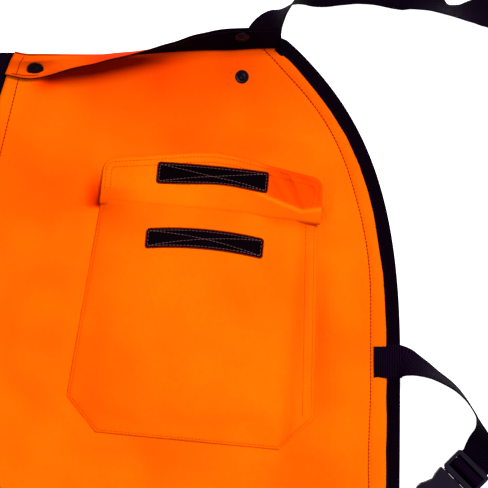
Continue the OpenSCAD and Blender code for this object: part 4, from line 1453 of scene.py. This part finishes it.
def make_studio():
    scene = bpy.context.scene
    data = bpy.data.cameras.new("camera")
    data.sensor_width = 36
    data.lens = 36 * (CAMERA_HEIGHT - CLOTH_HEIGHT) / VIEW_WIDTH
    camera = bpy.data.objects.new("camera", data)
    camera.location = (VIEW_CENTRE[0] * MM, (Y_TOP - VIEW_CENTRE[1]) * MM, CAMERA_HEIGHT * MM)
    scene.collection.objects.link(camera)
    scene.camera = camera

    n = 25                                        # floor squares each way, plus one
    spread = np.linspace(-FLOOR_HALF, FLOOR_HALF, n)
    gx, gy = np.meshgrid(spread, spread)
    mesh = bpy.data.meshes.new("floor")
    mesh.from_pydata(np.column_stack([gx.ravel(), gy.ravel(), np.full(n * n, FLOOR_Z)]), [],
                     [(r * n + c, r * n + c + 1, (r + 1) * n + c + 1, (r + 1) * n + c)
                      for r in range(n - 1) for c in range(n - 1)])
    m = Nodes("studio_floor", 0.85, specular=0.1, displayed=(0.95, 0.95, 0.95))
    m.colour(m.mix(m.noise(m.place(), 0.3), (0.93, 0.93, 0.93), (0.96, 0.96, 0.955)))
    m.shader.inputs["Emission Color"].default_value = (1, 1, 1, 1)
    m.shader.inputs["Emission Strength"].default_value = 0.95
    mesh.materials.append(m.material)
    floor = bpy.data.objects.new("floor", mesh)
    scene.collection.objects.link(floor)

    world = bpy.data.worlds.new("studio")
    world.use_nodes = True
    world.node_tree.nodes["Background"].inputs["Color"].default_value = (1, 1, 1, 1)
    world.node_tree.nodes["Background"].inputs["Strength"].default_value = 0.42
    scene.world = world
    for name, towards, strength, angle in (("key", (-0.42, -0.42, -0.80), 3.0, 20),
                                           ("fill", (0.5, 0.1, -0.8), 0.3, 50)):
        light = bpy.data.lights.new(name, "SUN")
        light.energy = strength
        light.angle = math.radians(angle)
        lamp = bpy.data.objects.new(name, light)
        lamp.rotation_mode = "QUATERNION"
        lamp.rotation_quaternion = Vector(towards).to_track_quat("-Z", "Y")
        scene.collection.objects.link(lamp)
    scene.view_settings.view_transform = "Standard"


make_studio()
for side in SIDES:
    make_belt(side)
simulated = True
folds = {side: leg_folds(0.006, seed) if simulated else None
         for side, seed in (("left", 101), ("right", 102))}
for side in SIDES:
    make_pad(side)
    make_leg(side, folds[side])
    make_lining(side)
    make_binding(side)
    make_leg_seams(side, folds[side])
    make_tabs(side)
    for level in LEVELS:
        make_strap(side, level)
        for half in ("prongs", "socket"):
            finish_node(f"{side}_{level}_buckle_{half}", PLASTIC, bevel=0.5)
    make_flap(side)
for half in ("prongs", "socket"):
    finish_node(f"waist_buckle_{half}", PLASTIC, bevel=0.5)
make_studs()
make_notch_insert()
slack = pocket_folds() if simulated else None
make_pocket(slack, folds["left"])
make_pocket_flap()
make_tape("pocket_loop_strip", LOOP, "loop_tape", "pocket_loop_tape", "chaps",
          lambda u: -28.4 - 3.9 * ((u - 97) / 52) ** 2, lambda u, v: pocket_z(u, v, slack), 9.2, 2.4,
          (42.0, 148.5))
make_tape("pocket_hook_strip", HOOK, "hook_tape", "pocket_hook_tape", "pocket_flap",
          lambda u: 28.2 - 1.0 * ((u - 97) / 50) ** 2, flap_z, 10.0, 2.4, (46.5, 147.5), waist=3.2)

bpy.context.view_layer.update()
